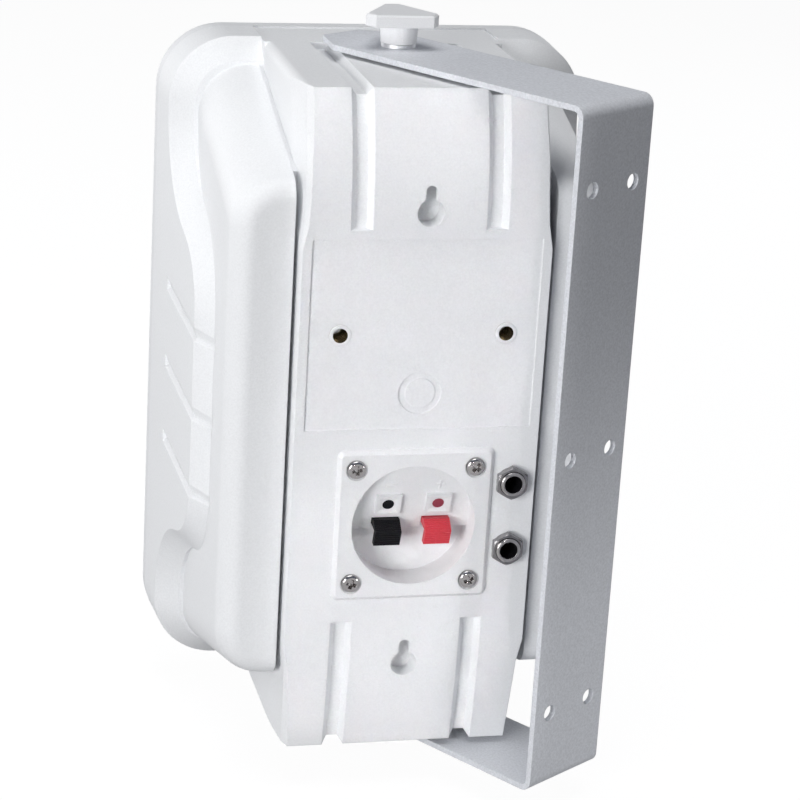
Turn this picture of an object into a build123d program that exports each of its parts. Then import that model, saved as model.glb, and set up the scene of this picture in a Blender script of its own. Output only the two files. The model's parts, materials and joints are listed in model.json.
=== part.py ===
from build123d import *
import math
import os

# Frame, in millimetres: the origin lies midway between the two rear inserts, on the flat rear face.
# +Y points out of the back of the speaker, +Z is up and +X is the side of the black terminal.

# Cabinet
mid_z = -43.3              # middle height of the cabinet, below the line of the inserts
spine_width = 105.6        # central block between the two side wings
spine_height = 287.4
parting_y = -129.5         # joint between the rear moulding and the front baffle
rear_wall = 7.0
spine_wall = 3.4
end_wall = 6.5
top_lean = 12.0            # how far the rear face falls forward at its top edge
bottom_lean = 5.0
upper_groove_end = 44.4    # height where the upper grooves end and the rear face starts to lean
lower_groove_end = -127.4
groove_spacing = 56.6
groove_width = 9.3
groove_floor = 4.7
groove_depth = 3.2
groove_front_y = -99.5
edge_bevel = 0.6
end_bevel = 4.8            # bevel of the long rear edges at the top and bottom edges of the block
end_bevel_start = 2.6
end_bevel_run = 10.0
bevel_facet = 0.42         # share of a bevel's width taken by its steep rear facet
bevel_facet_depth = 1.25   # depth of that facet over the bevel's width
bevel_draft_depth = 5.0    # and of the slight draft that runs out into the flank
upper_bevel_z = 36.0
lower_bevel_z = -139.0
end_round = 4.0
label_width = 96.4
label_height = 81.4
label_z = -0.3
label_depth = 0.5
mark_z = -25.5
mark_radius = 9.1
mark_ring = 2.7
mark_depth = 0.4

# Side wings
wing_step = 0.8            # the wings stand this much above the central block
wing_half_width = 93.4     # at the parting line
wing_draft = 3.7
wing_corner = 28.0
rim_rear_y = -98.5         # rear of the rim at the corners
side_rear_y = -36.0        # rear of the side face at mid height
sweep_outer = 115.0        # the S-curves of the side run between these distances from mid height
sweep_inner = 38.0
band_bevel = 9.0
pad_rear_y = -5.0
pad_upper_half = 105.3     # sharp corners of the raised pad, from mid height
pad_lower_half = 108.7
pad_outer_x = 80.3
pad_slope = 0.305
pad_root_y = -100.0
pad_corner = 20.0
pad_edge = 9.5
pad_gap = 1.9
pad_gap_floor_y = -17.0
seam_drop = 0.8
wing_wall = 3.6
chevron_count = 3
chevron_pitch = 35.2
chevron_top_z = -8.5
chevron_front_y = -100.0
chevron_height = 4.8
chevron_depth = 1.9
chevron_floor_fall = 1.5    # slope of a notch's floor over its depth
chevron_fall = 6.0         # drop of a notch along the side face
chevron_band_fall = 3.5    # and across the bevelled band
front_cavity_half_width = 83.6
front_cavity_rear_y = -104.0
joint_cavity_rear_y = -41.0

# Keyholes
keyhole_upper_z = 51.4
keyhole_lower_z = -148.0
keyhole_radius = 5.6
keyhole_slot = 4.7
keyhole_rise = 8.8         # from the round hole's centre to the centre of the slot's end
keyhole_lip = 3.2
keyhole_depth = 9.5
keyhole_back = 2.5

# Threaded inserts
insert_spacing = 70.0
insert_radius = 4.65
insert_bore = 2.65
insert_length = 12.0
boss_wall = 2.9
pivot_y = -74.0
pivot_insert_radius = 6.0
pivot_insert_length = 14.0
pivot_boss_wall = 4.5

# Front baffle and grille
plate_thickness = 5.0
rim_height = 4.5
rim_width = 5.0
rim_edge = 2.6
grille_gap = 0.4
grille_sheet = 1.0
grille_crown = 8.0
grille_columns = 9
grille_rows = 13
grille_pitch_x = 17.6
grille_pitch_z = 20.0
grille_hole = 9.0
baffle_screw_inset = 14.8
baffle_screw_rise = 122.0
baffle_boss_radius = 5.4
baffle_boss_length = 19.0
screw_radius = 1.5
screw_fit = 0.1
screw_head_radius = 3.0
screw_head = 1.8
baffle_screw_length = 14.0

# Woofer, measured from the baffle's front face along the axis
woofer_z = -103.0
woofer_flange_radius = 67.0
woofer_flange = 2.4
woofer_hole_radius = 59.0
seat_fit = 0.3
basket_sheet = 1.6
basket_mouth_radius = 58.0
basket_seat_radius = 40.0
basket_depth = 35.0
basket_seat_bore = 22.0
basket_windows = 4
basket_window_width = 36.0
spider_ledge = 4.0
spider_sheet = 0.6
spider_wave = 1.2
top_plate = 5.0
magnet_radius = 40.0
magnet_bore = 18.0
magnet_height = 14.0
back_plate = 5.0
pole_radius = 12.2
pole_vent = 4.0
former_radius = 13.0
former_wall = 0.3
coil_thickness = 0.5
coil_gap = 0.4
coil_length = 8.0
coil_tail = 9.0
cone_radius = 49.0
cone_sheet = 0.8
cone_depth = 20.0
cone_edge_drop = 0.15
cap_radius = 16.0
cap_height = 6.0
surround_height = 4.5
surround_sheet = 0.8
surround_lip = 3.2
glue_gap = 0.15
woofer_screw_ring = 64.2
woofer_screw_length = 5.5

# Tweeter
tweeter_z = 32.0
tweeter_flange_radius = 42.0
tweeter_flange = 2.4
tweeter_hole_radius = 32.0
horn_mouth = 22.0
horn_throat = 14.0
dome_radius = 13.2
dome_height = 4.6
dome_sheet = 0.8
dome_ring = 17.0
tweeter_magnet_radius = 31.0
tweeter_magnet_height = 17.0
tweeter_screw_ring = 37.5
tweeter_screw_length = 5.5

# Crossover
board_width = 50.0
board_height = 34.0
board_z = -27.0
board_thickness = 1.6
board_rib = 6.0
board_rib_width = 3.0
coil_outer = 13.0
coil_inner = 6.0
coil_height = 12.0
capacitor_radius = 6.5
capacitor_length = 28.0

# Terminal cup
cup_z = -83.4
cup_plate = 67.0
cup_plate_corner = 3.0
cup_plate_rise = 2.2
cup_plate_bevel = 1.6
cup_radius = 26.5
cup_wall = 2.0
cup_floor_y = -12.5
cup_step_y = -9.0
cup_step_drop = 5.0
cup_screw_offset = 25.5
cup_screw_seat = 4.6
cup_screw_sink = 0.8
cup_screw_head = 4.1
cup_screw_dome = 1.7
cup_screw_length = 11.0
entry_pitch = 21.6
entry_x = -0.8               # midway between the two entries
entry_rise = 8.0
entry_bore = 2.2
entry_depth = 7.0
entry_frame_width = 11.0
entry_frame_height = 9.8
entry_frame_rise = 1.0
lever_width = 11.3
lever_side_gap = 0.35
lever_thickness = 3.0
lever_reach = 10.5
lever_shoulder_rise = 0.3
lever_shoulder_y = -4.4
lever_knee = 3.7
lever_knee_y = 0.2
lever_tip_y = -2.4
hinge_rise = -1.4
hinge_y = -9.2
hinge_radius = 1.6
pin_radius = 0.75
pin_fit = 0.05
pin_grip = 1.4               # length of a pin's end in the pocket's side wall
tag_width = 4.8
tag_thickness = 0.8
tag_length = 10.0

# Jacks
jack_x = -41.7
jack_z = -80.4
jack_pitch = 29.9
jack_bushing_radius = 5.4
jack_bushing_rise = 4.8
jack_bore = 3.3
jack_bore_depth = 24.0
jack_mouth = 0.7
jack_body = 13.0
jack_body_depth = 20.0
jack_hole_fit = 0.2
jack_nut_flats = 12.8
jack_nut = 3.0
jack_washer_radius = 6.3
jack_washer = 0.8

# Bracket and knobs
swing = 33.5               # angle of the bracket in the photographed pose
bracket_reach = 121.0      # pivot axis to the outside of the web
bracket_width = 44.0
bracket_sheet = 2.5
bracket_bend = 2.5
bracket_tip = 34.0
bracket_tip_width = 22.0
bracket_tip_run = 17.0
upper_arm_gap = 1.5        # between the central block and the bracket's arms
lower_arm_gap = 3.0
wall_hole_radius = 3.5
wall_hole_spacing = 25.4
wall_hole_pitch = 113.8
pivot_hole_fit = 0.3
stud_radius = 4.0
stud_fit = 0.06
stud_tip_gap = 1.5
pad_washer_radius = 11.0
pad_washer_clearance = 0.3
clamp_washer_radius = 7.4
clamp_washer = 1.6
knob_clearance = 0.2
knob_boss_radius = 8.2
knob_boss = 8.0
knob_head = 5.2
knob_flat = 11.0           # from the axis to each of the three flat sides
knob_corner = 16.3
stud_socket = 9.0

# Places worked out from the sizes above
spine_half = spine_width / 2
spine_top = mid_z + spine_height / 2
spine_bottom = mid_z - spine_height / 2
wing_top = spine_top + wing_step
wing_bottom = spine_bottom - wing_step
pad_inner_x = spine_half + pad_gap
baffle_y = parting_y - plate_thickness
rim_y = baffle_y - rim_height
cup_slope = (cup_plate_rise - cup_step_y) / (cup_radius + cup_step_drop)
cup_lean = math.degrees(math.atan(cup_slope))
cup_back_y = cup_floor_y - cup_wall
board_y = -rear_wall - board_rib
insert_places = [(-insert_spacing / 2, 0.0), (insert_spacing / 2, 0.0)]
jack_heights = [jack_z + jack_pitch / 2, jack_z - jack_pitch / 2]
entry_places = [entry_x + entry_pitch / 2, entry_x - entry_pitch / 2]
cup_screws = [(sx * cup_screw_offset, cup_z + sz * cup_screw_offset) for sx in (-1, 1) for sz in (-1, 1)]
baffle_screw_x = wing_half_width - baffle_screw_inset
baffle_screws = [(sx * baffle_screw_x, mid_z + k * baffle_screw_rise) for sx in (-1, 1) for k in (-1, 0, 1)]


def post(x, z, y0, y1, radius):
    """A cylinder along Y."""
    return Pos(x, (y0 + y1) / 2, z) * Rot(90, 0, 0) * Cylinder(radius, abs(y1 - y0))


def pillar(x, y, z0, z1, radius):
    """A cylinder along Z."""
    return Pos(x, y, (z0 + z1) / 2) * Cylinder(radius, abs(z1 - z0))


def block(x0, x1, y0, y1, z0, z1):
    """A box between two corners."""
    return Pos((x0 + x1) / 2, (y0 + y1) / 2, (z0 + z1) / 2) * Box(abs(x1 - x0), abs(y1 - y0), abs(z1 - z0))


def side_slab(edges, x0, x1):
    """A side-view outline in Y and Z, given as edges, made solid between two values of X."""
    return extrude(Plane.YZ.offset(x0) * make_face(Curve() + edges), amount=x1 - x0)


def closed(points):
    """The edges of a closed polygon."""
    return [Line(a, b) for a, b in zip(points, points[1:] + points[:1])]


def turned(points, z, x=0.0):
    """A closed outline of radius and Y, turned about an axis along Y."""
    outline = Pos(x, 0, z) * make_face(Polyline(*points, close=True))
    return revolve(outline, axis=Axis((x, 0, z), (0, 1, 0)))


def rounded_slab(half_width, z0, z1, corner, y0, y1):
    """A rounded rectangle in front view, made solid between two values of Y."""
    outline = RectangleRounded(2 * half_width, z1 - z0, corner)
    return extrude(Plane.XZ.offset(-y1) * Pos(0, (z0 + z1) / 2) * outline, amount=y1 - y0)


def ring_of(radius, count, start):
    """Places round a circle, as X and Z offsets."""
    turns = [math.radians(start + 360 * k / count) for k in range(count)]
    return [(radius * math.cos(a), radius * math.sin(a)) for a in turns]


def arc_radius(run, lean):
    """Radius of the arc that leaves the rear face smoothly and falls forward by lean over run."""
    return (run * run + lean * lean) / (2 * lean)


upper_arc = arc_radius(spine_top - upper_groove_end, top_lean)
lower_arc = arc_radius(lower_groove_end - spine_bottom, bottom_lean)


def rear_face_y(z):
    """Y of the central block's rear face at height z."""
    if z > upper_groove_end:
        return math.sqrt(upper_arc ** 2 - (z - upper_groove_end) ** 2) - upper_arc
    if z < lower_groove_end:
        return math.sqrt(lower_arc ** 2 - (z - lower_groove_end) ** 2) - lower_arc
    return 0.0


def spine():
    """Central block, with bevelled long edges that widen towards the two ends."""
    front_top = (parting_y, spine_top)
    front_bottom = (parting_y, spine_bottom)
    rear_top = (-top_lean, spine_top)
    rear_bottom = (-bottom_lean, spine_bottom)
    upper = (0.0, upper_groove_end)
    lower = (0.0, lower_groove_end)
    edges = [
        Line(front_bottom, front_top),
        Line(front_top, rear_top),
        TangentArc(upper, rear_top, tangent=(0, 1)),
        Line(upper, lower),
        TangentArc(lower, rear_bottom, tangent=(0, -1)),
        Line(rear_bottom, front_bottom),
    ]
    body = side_slab(edges, -spine_half, spine_half)
    for end, start in ((spine_top, upper_bevel_z), (spine_bottom, lower_bevel_z)):
        way = 1 if end > start else -1
        wide = start + way * end_bevel_run
        heights = [start, wide, (wide + end) / 2, end + way]
        legs = [edge_bevel, end_bevel_start, (end_bevel_start + end_bevel) / 2, end_bevel]
        for side in (-1, 1):
            corner_x, corner_z = side * (spine_half - end_round), end - way * end_round
            square = block(corner_x, side * (spine_half + 1), pad_root_y, 1, corner_z, end + way)
            body -= square - post(corner_x, corner_z, pad_root_y - 1, 2, end_round)
        body = cut_bevel(body, heights, legs)
    return cut_bevel(body, [upper_bevel_z, lower_bevel_z], [edge_bevel, edge_bevel])


def cut_bevel(body, heights, legs):
    """Bevel both long rear edges between the given heights, by a facet and a draft."""
    reach = 1.0
    sections = []
    for z, leg in zip(heights, legs):
        y = rear_face_y(max(min(z, spine_top), spine_bottom))
        facet, depth = leg * bevel_facet, leg * bevel_facet_depth
        draft = leg * bevel_draft_depth
        corners = [
            (spine_half - leg - reach * facet / depth, y + reach),
            (spine_half - leg + facet, y - depth),
            (spine_half + reach, y - depth - draft - reach * draft / (leg - facet)),
            (spine_half + reach, y + reach),
        ]
        sections.append(Pos(0, 0, z) * make_face(Polyline(*corners, close=True)))
    wedge = loft(sections, ruled=True)
    return body - wedge - mirror(wedge, about=Plane.YZ)


def groove_cutter(x):
    """Upper and lower grooves at one X: along the rear face, round the end edge and onto the end face."""
    clear = 2.0
    half_top = groove_width / 2
    half_floor = groove_floor / 2
    flare = (half_top - half_floor) / groove_depth * clear
    section = [(-half_floor, -groove_depth), (half_floor, -groove_depth),
               (half_top + flare, clear), (-half_top - flare, clear)]
    cutters = []
    for z, radius, way, end in ((upper_groove_end, upper_arc, 1, spine_top),
                                (lower_groove_end, lower_arc, -1, spine_bottom)):
        face = Pos(x, 0, z) * make_face(Polyline(*section, close=True))
        sweep_angle = math.degrees(math.asin(abs(end - z) / radius)) + 2.0
        cutters.append(revolve(face, axis=Axis((0, -radius, z), (way, 0, 0)), revolution_arc=sweep_angle))
        outline = [(x + u, end + way * v) for u, v in section]
        cap = Plane.XZ.offset(-clear) * make_face(Polyline(*outline, close=True))
        cutters.append(extrude(cap, amount=clear - groove_front_y))
    return cutters


def wing_shell():
    """Drafted side of one wing, whose rear edge sweeps rearwards at mid height under a bevelled band."""
    up_out, up_in = mid_z + sweep_outer, mid_z + sweep_inner
    dn_out, dn_in = mid_z - sweep_outer, mid_z - sweep_inner
    mid_y = (rim_rear_y + side_rear_y) / 2
    rim_up, rim_dn = (rim_rear_y, up_out), (rim_rear_y, dn_out)
    side_up, side_dn = (side_rear_y, up_in), (side_rear_y, dn_in)
    half_up = (mid_y, (up_out + up_in) / 2)
    half_dn = (mid_y, (dn_out + dn_in) / 2)
    corners = [(rim_rear_y, wing_top), (parting_y, wing_top),
               (parting_y, wing_bottom), (rim_rear_y, wing_bottom)]
    edges = [
        Line(corners[0], corners[1]),
        Line(corners[1], corners[2]),
        Line(corners[2], corners[3]),
        Line(corners[3], rim_dn),
        TangentArc(rim_dn, half_dn, tangent=(0, 1)),
        TangentArc(side_dn, half_dn, tangent=(0, -1)),
        Line(side_dn, side_up),
        TangentArc(side_up, half_up, tangent=(0, 1)),
        TangentArc(rim_up, half_up, tangent=(0, -1)),
        Line(rim_up, corners[0]),
    ]
    body = side_slab(edges, spine_half - 0.2, wing_half_width + 5)
    lean = math.radians(wing_draft)
    side = Plane(origin=(wing_half_width, parting_y, 0), x_dir=(0, 0, 1),
                 z_dir=(math.cos(lean), math.sin(lean), 0))
    body = split(body, bisect_by=side, keep=Keep.BOTTOM)
    ends = [e for e in body.edges() if e.center().X > pad_outer_x and abs(e.tangent_at(0.5).Y) > 0.9
            and min(abs(e.center().Z - wing_top), abs(e.center().Z - wing_bottom)) < 0.01]
    body = fillet(ends, wing_corner)
    return chamfer(band_edges(body), band_bevel)


def band_edges(body):
    """The edges where the rear-facing surfaces of a wing meet its outer surfaces."""
    def rearward(face):
        n = face.normal_at(face.center())
        return abs(n.X) < 0.05 and n.Y > 0.2

    def outward(face):
        n = face.normal_at(face.center())
        return n.Y < 0.15 and n.Y > -0.9 and n.X > -0.5

    rear = [e for f in body.faces() if rearward(f) for e in f.edges()]
    outer = [e for f in body.faces() if outward(f) and not rearward(f) for e in f.edges()]
    return [e for e in rear if any(e.is_same(o) for o in outer)]


def pad_outline(rear_y, drop):
    """Side view of the raised pad: a flat rear face between two sloping shoulders."""
    rear_rise = pad_slope * (pad_rear_y - rear_y) - drop
    root_rise = pad_slope * (pad_rear_y - pad_root_y) - drop
    upper, lower = mid_z + pad_upper_half, mid_z - pad_lower_half
    return [(pad_root_y, upper + root_rise), (rear_y, upper + rear_rise),
            (rear_y, lower - rear_rise), (pad_root_y, lower - root_rise)]


def wing_pad():
    """Raised pad of one wing, with the lower floor of the gap beside the central block."""
    pad = side_slab(closed(pad_outline(pad_rear_y, 0.0)), pad_inner_x, pad_outer_x)
    outer = pad.faces().sort_by(Axis.X)[-1]
    slanted = [e for e in outer.edges() if pad_root_y + 1 < e.center().Y < pad_rear_y - 1]
    pad = fillet(slanted, pad_corner)
    rear = pad.faces().sort_by(Axis.Y)[-1]
    pad = fillet([e for e in rear.edges() if e.center().X > pad_inner_x + 0.1], pad_edge)
    inner_x = spine_half - end_bevel
    core = side_slab(closed(pad_outline(pad_gap_floor_y, seam_drop)), inner_x, pad_inner_x + 1)
    return pad + core


def chevrons():
    """Notches along the side face of one wing and over its band, with a sloping roof and floor."""
    lean = math.tan(math.radians(wing_draft))
    bend_y = side_rear_y - band_bevel
    bend_x = wing_half_width - (bend_y - parting_y) * lean
    end_x, end_y = bend_x - band_bevel - 2, side_rear_y + 2
    front_x = wing_half_width - (chevron_front_y - parting_y) * lean
    cutters = []
    for k in range(chevron_count):
        z = chevron_top_z - k * chevron_pitch
        stations = [(front_x, chevron_front_y, z, 1.0, 0.0),
                    (bend_x, bend_y, z - chevron_fall, 0.92, 0.38),
                    (end_x, end_y, z - chevron_fall - chevron_band_fall, 0.71, 0.71)]
        sections = [notch_section(*station) for station in stations]
        cutters.append(loft(sections[:2], ruled=True))
        cutters.append(loft(sections[1:], ruled=True))
    return cutters


def notch_section(x, y, z, out_x, out_y):
    """Triangle of one notch at a place on the surface, with the surface's outward direction."""
    over = 1.0
    deep = (x - out_x * chevron_depth, y - out_y * chevron_depth, z)
    roof_z = z + chevron_height * (1 + over / chevron_depth)
    floor_z = z - chevron_floor_fall * (1 + over / chevron_depth)
    roof = (x + out_x * over, y + out_y * over, roof_z)
    floor = (x + out_x * over, y + out_y * over, floor_z)
    return make_face(Polyline(deep, roof, floor, close=True))


def cavity():
    """The space inside the rear moulding, open at the front."""
    front = rounded_slab(front_cavity_half_width, wing_bottom + 8, wing_top - 8, wing_corner - 8,
                         parting_y - 1, front_cavity_rear_y)
    lean_y = -rear_wall - top_lean - 3
    spine_space = side_slab(closed([
        (parting_y - 1, spine_top - end_wall), (lean_y, spine_top - end_wall),
        (-rear_wall, upper_groove_end - 14), (-rear_wall, lower_groove_end + 14),
        (-rear_wall - bottom_lean, spine_bottom + end_wall), (parting_y - 1, spine_bottom + end_wall)]),
        -spine_half + spine_wall, spine_half - spine_wall)
    half_front = pad_upper_half + pad_slope * (pad_rear_y - front_cavity_rear_y) - wing_wall - 1
    half_joint = pad_upper_half + pad_slope * (pad_rear_y - joint_cavity_rear_y) - wing_wall - 1
    side = pad_outer_x - wing_wall
    joint = side_slab(closed([
        (front_cavity_rear_y - 1, mid_z + half_front), (joint_cavity_rear_y, mid_z + half_joint),
        (joint_cavity_rear_y, mid_z - half_joint), (front_cavity_rear_y - 1, mid_z - half_front)]),
        -side, side)
    slanted = [e for e in joint.edges() if abs(e.tangent_at(0.5).Y) > 0.5 and abs(e.tangent_at(0.5).Z) > 0.1]
    joint = fillet(slanted, pad_corner - wing_wall)
    half_pad = pad_upper_half - pad_corner / 2
    pad = block(pad_inner_x + wing_wall, side - 3, joint_cavity_rear_y - 1, pad_rear_y - wing_wall,
                mid_z - half_pad, mid_z + half_pad)
    return [front, spine_space, joint, pad, mirror(pad, about=Plane.YZ)]


def inner_bosses():
    """Bosses, ribs and pocket blocks moulded on the inside."""
    parts = [post(x, z, -insert_length - boss_wall, -rear_wall + 1, insert_radius + boss_wall)
             for x, z in insert_places]
    for z in (keyhole_upper_z, keyhole_lower_z):
        side = keyhole_radius + keyhole_back
        parts.append(block(-side, side, -keyhole_depth - keyhole_back, -rear_wall + 1,
                           z - side, z + keyhole_rise + side))
    depth = pivot_insert_length + 2
    for z in (spine_top, spine_bottom):
        way = 1 if z > mid_z else -1
        parts.append(pillar(0, pivot_y, z - way * depth, z - way, pivot_insert_radius + pivot_boss_wall))
    for k in (-1, 1):
        z = board_z + k * (board_height / 2 - board_rib_width)
        half = board_rib_width / 2
        parts.append(block(-board_width / 2, board_width / 2, -rear_wall - board_rib, -rear_wall + 1,
                           z - half, z + half))
    for x, z in cup_screws:
        parts.append(post(x, z, -cup_screw_length, -rear_wall + 1, screw_radius + boss_wall))
    for x, z in baffle_screws:
        parts.append(post(x, z, parting_y, parting_y + baffle_boss_length, baffle_boss_radius))
        wall_x = math.copysign(front_cavity_half_width + 1, x)
        half = baffle_boss_radius / 2
        parts.append(block(x, wall_x, parting_y, parting_y + baffle_boss_length, z - half, z + half))
    return parts


def keyhole_cutters(z):
    """Keyhole opening and the wider pocket behind its lip."""
    top = z + keyhole_rise
    lip = post(0, z, -keyhole_lip, 1, keyhole_radius) + post(0, top, -keyhole_lip, 1, keyhole_slot / 2)
    lip += block(-keyhole_slot / 2, keyhole_slot / 2, -keyhole_lip, 1, z, top)
    pocket = post(0, z, -keyhole_depth, -keyhole_lip, keyhole_radius)
    pocket += post(0, top, -keyhole_depth, -keyhole_lip, keyhole_radius)
    pocket += block(-keyhole_radius, keyhole_radius, -keyhole_depth, -keyhole_lip, z, top)
    return [lip + pocket]


def rear_cabinet():
    wing = wing_shell() + wing_pad()
    for cutter in chevrons():
        wing -= cutter
    body = spine() + wing + mirror(wing, about=Plane.YZ)
    for space in cavity():
        body -= space
    for boss in inner_bosses():
        body += boss
    for x in (-groove_spacing / 2, groove_spacing / 2):
        for cutter in groove_cutter(x):
            body -= cutter
    half_w, half_h = label_width / 2, label_height / 2
    body -= block(-half_w, half_w, -label_depth, 1, label_z - half_h, label_z + half_h)
    ring = post(0, mark_z, -label_depth - mark_depth, 0, mark_radius)
    body -= ring - post(0, mark_z, -label_depth - mark_depth - 1, 1, mark_radius - mark_ring)
    for z in (keyhole_upper_z, keyhole_lower_z):
        for cutter in keyhole_cutters(z):
            body -= cutter
    for x, z in insert_places:
        body -= post(x, z, -insert_length, 1, insert_radius)
    body -= post(0, cup_z, -2 * rear_wall - boss_wall, 1, cup_radius + cup_wall + seat_fit)
    for x, z in cup_screws:
        body -= post(x, z, -cup_screw_length - 1, 1, screw_radius + screw_fit)
    for z in jack_heights:
        body -= post(jack_x, z, -rear_wall - 1, 1, jack_bushing_radius + jack_hole_fit)
    for z in (spine_top, spine_bottom):
        way = 1 if z > mid_z else -1
        body -= pillar(0, pivot_y, z - way * pivot_insert_length, z + way, pivot_insert_radius)
    for x, z in baffle_screws:
        body -= post(x, z, parting_y - 1, parting_y + baffle_boss_length - 2, screw_radius + screw_fit)
    return body


def front_baffle():
    """Front moulding: a rim with a rounded edge round a recessed plate with seats for both drivers."""
    body = rounded_slab(wing_half_width, wing_bottom, wing_top, wing_corner, rim_y, parting_y)
    body = fillet(body.faces().sort_by(Axis.Y)[0].edges(), rim_edge)
    body -= rounded_slab(wing_half_width - rim_width, wing_bottom + rim_width, wing_top - rim_width,
                         wing_corner - rim_width, rim_y - 1, baffle_y)
    for z, flange_radius, flange, hole, ring in (
            (woofer_z, woofer_flange_radius, woofer_flange, woofer_hole_radius, woofer_screw_ring),
            (tweeter_z, tweeter_flange_radius, tweeter_flange, tweeter_hole_radius, tweeter_screw_ring)):
        body -= post(0, z, baffle_y - 1, baffle_y + flange, flange_radius + seat_fit)
        body -= post(0, z, baffle_y, parting_y + 1, hole)
        for u, v in ring_of(ring, 4, 45):
            body -= post(u, z + v, baffle_y, parting_y + 1, screw_radius + screw_fit)
    for x, z in baffle_screws:
        body -= post(x, z, baffle_y - 1, parting_y + 1, screw_radius + screw_fit)
    return body


def grille():
    """Perforated sheet pressed into a shallow pan that is crowned from side to side."""
    half = wing_half_width - rim_width - grille_gap
    low, high = wing_bottom + rim_width + grille_gap, wing_top - rim_width - grille_gap
    corner = wing_corner - rim_width - grille_gap
    edge_y = rim_y + grille_sheet
    radius = (half * half + grille_crown * grille_crown) / (2 * grille_crown)

    def crowned(inset):
        pan = rounded_slab(half - inset, low + inset, high - inset, corner - inset,
                           edge_y - grille_crown - 1, baffle_y)
        return pan & pillar(0, edge_y - grille_crown + radius, low - 1, high + 1, radius - inset)

    pan = crowned(0) - crowned(grille_sheet) - block(-half, half, baffle_y - 0.01, baffle_y + 1, low, high)
    pan -= rounded_slab(half - grille_sheet, low + grille_sheet, high - grille_sheet, corner - grille_sheet,
                        edge_y + grille_sheet, baffle_y + 1)
    hole = Plane.XZ.offset(-edge_y) * Rot(0, 0, 45) * Rectangle(grille_hole, grille_hole)
    holes = []
    for i in range(grille_columns):
        for j in range(grille_rows):
            x = (i - (grille_columns - 1) / 2) * grille_pitch_x
            z = mid_z + (j - (grille_rows - 1) / 2) * grille_pitch_z
            holes.append(Pos(x, 0, z) * extrude(hole, amount=grille_crown + 3))
    return pan - holes


def pan_screw(x, z, seat_y, way, length, head_radius, head):
    """A pan-head screw along Y with a slightly domed head; way is the side its head faces."""
    crown = head * 0.4
    points = [(0, seat_y - way * length), (screw_radius, seat_y - way * length), (screw_radius, seat_y),
              (head_radius, seat_y), (head_radius, seat_y + way * (head - crown)),
              (head_radius * 0.6, seat_y + way * head), (0, seat_y + way * head)]
    return turned(points, z, x)


def group(solids):
    return Compound(children=list(solids))


def woofer_basket():
    """Pressed basket: flange, conical wall with windows, spider ledge and magnet seat."""
    front = baffle_y
    seat = front + basket_depth
    ledge_y = seat - basket_sheet - spider_ledge
    mouth = basket_mouth_radius
    lip = basket_sheet
    profile = [(woofer_flange_radius, front), (woofer_flange_radius, front + woofer_flange),
               (mouth, front + woofer_flange), (basket_seat_radius, seat - lip), (basket_seat_radius, seat),
               (basket_seat_bore, seat), (basket_seat_bore, seat - lip),
               (basket_seat_radius - 4, seat - lip), (basket_seat_radius - 4, ledge_y),
               (basket_ledge_radius(ledge_y), ledge_y), (mouth - lip, front + woofer_flange - 0.6),
               (mouth - lip, front)]
    body = turned(profile, woofer_z)
    top = front + woofer_flange + 4
    for u, v in ring_of(mouth, basket_windows, 0):
        angle = math.degrees(math.atan2(v, u))
        window = Box(mouth, ledge_y - 2 - top, basket_window_width)
        window = Rot(0, -angle, 0) * Pos(mouth, (top + ledge_y - 2) / 2, 0) * window
        body -= Pos(0, 0, woofer_z) * window
    for u, v in ring_of(woofer_screw_ring, 4, 45):
        body -= post(u, woofer_z + v, front - 1, front + woofer_flange + 1, screw_radius + screw_fit)
    return body


def basket_ledge_radius(y):
    """Inner radius of the basket's conical wall at Y."""
    start = baffle_y + woofer_flange - 0.6
    end = baffle_y + basket_depth - basket_sheet
    share = (y - start) / (end - start)
    return (basket_mouth_radius - basket_sheet) * (1 - share) + (basket_seat_radius - basket_sheet) * share


def woofer_motor():
    """Front plate, ring magnet, back plate with pole."""
    seat = baffle_y + basket_depth
    gap_radius = former_radius + coil_thickness + coil_gap
    plate_end = seat + top_plate
    magnet_end = plate_end + magnet_height
    back_end = magnet_end + back_plate
    plate_radius = magnet_radius - 2
    front_plate = turned([(gap_radius, seat), (plate_radius, seat), (plate_radius, plate_end),
                          (gap_radius, plate_end)], woofer_z)
    magnet = turned([(magnet_bore, plate_end), (magnet_radius, plate_end), (magnet_radius, magnet_end),
                     (magnet_bore, magnet_end)], woofer_z)
    yoke = turned([(pole_vent, seat), (pole_radius, seat), (pole_radius, magnet_end),
                   (plate_radius, magnet_end), (plate_radius, back_end), (pole_vent, back_end)], woofer_z)
    return front_plate, magnet, yoke


def cone_neck_y():
    return baffle_y + cone_edge_drop + cone_depth


def woofer_cone():
    """Curved cone, from the former's end to the edge under the surround."""
    front = baffle_y + cone_edge_drop
    neck_y = cone_neck_y()
    inner = former_radius + glue_gap
    bow = 2.2
    middle = ((inner + cone_radius) / 2, (front + neck_y) / 2 + bow)
    outer = Spline((inner, neck_y), middle, (cone_radius, front))
    back = Pos(0, cone_sheet) * outer
    face = make_face(Curve() + [outer, back, Line((inner, neck_y), (inner, neck_y + cone_sheet)),
                                Line((cone_radius, front), (cone_radius, front + cone_sheet))])
    return revolve(Pos(0, 0, woofer_z) * face, axis=Axis((0, 0, woofer_z), (0, 1, 0)))


def voice_coil():
    """Former tube with its winding near the rear end."""
    seat = baffle_y + basket_depth
    start = cone_neck_y() - 0.5
    end = seat + coil_tail
    coil_start = seat + top_plate / 2 - coil_length / 2
    r0, r1, r2 = former_radius - former_wall, former_radius, former_radius + coil_thickness
    coil_end = coil_start + coil_length
    return turned([(r0, start), (r1, start), (r1, coil_start), (r2, coil_start), (r2, coil_end),
                   (r1, coil_end), (r1, end), (r0, end)], woofer_z)


def dust_cap():
    """Domed cap that closes the middle of the cone."""
    share = (cap_radius - former_radius) / (cone_radius - former_radius)
    base = cone_neck_y() - share * (cone_depth + 1.4) - 0.3
    return domed_cap(cap_radius, cap_height, cone_sheet, base, woofer_z)


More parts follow.
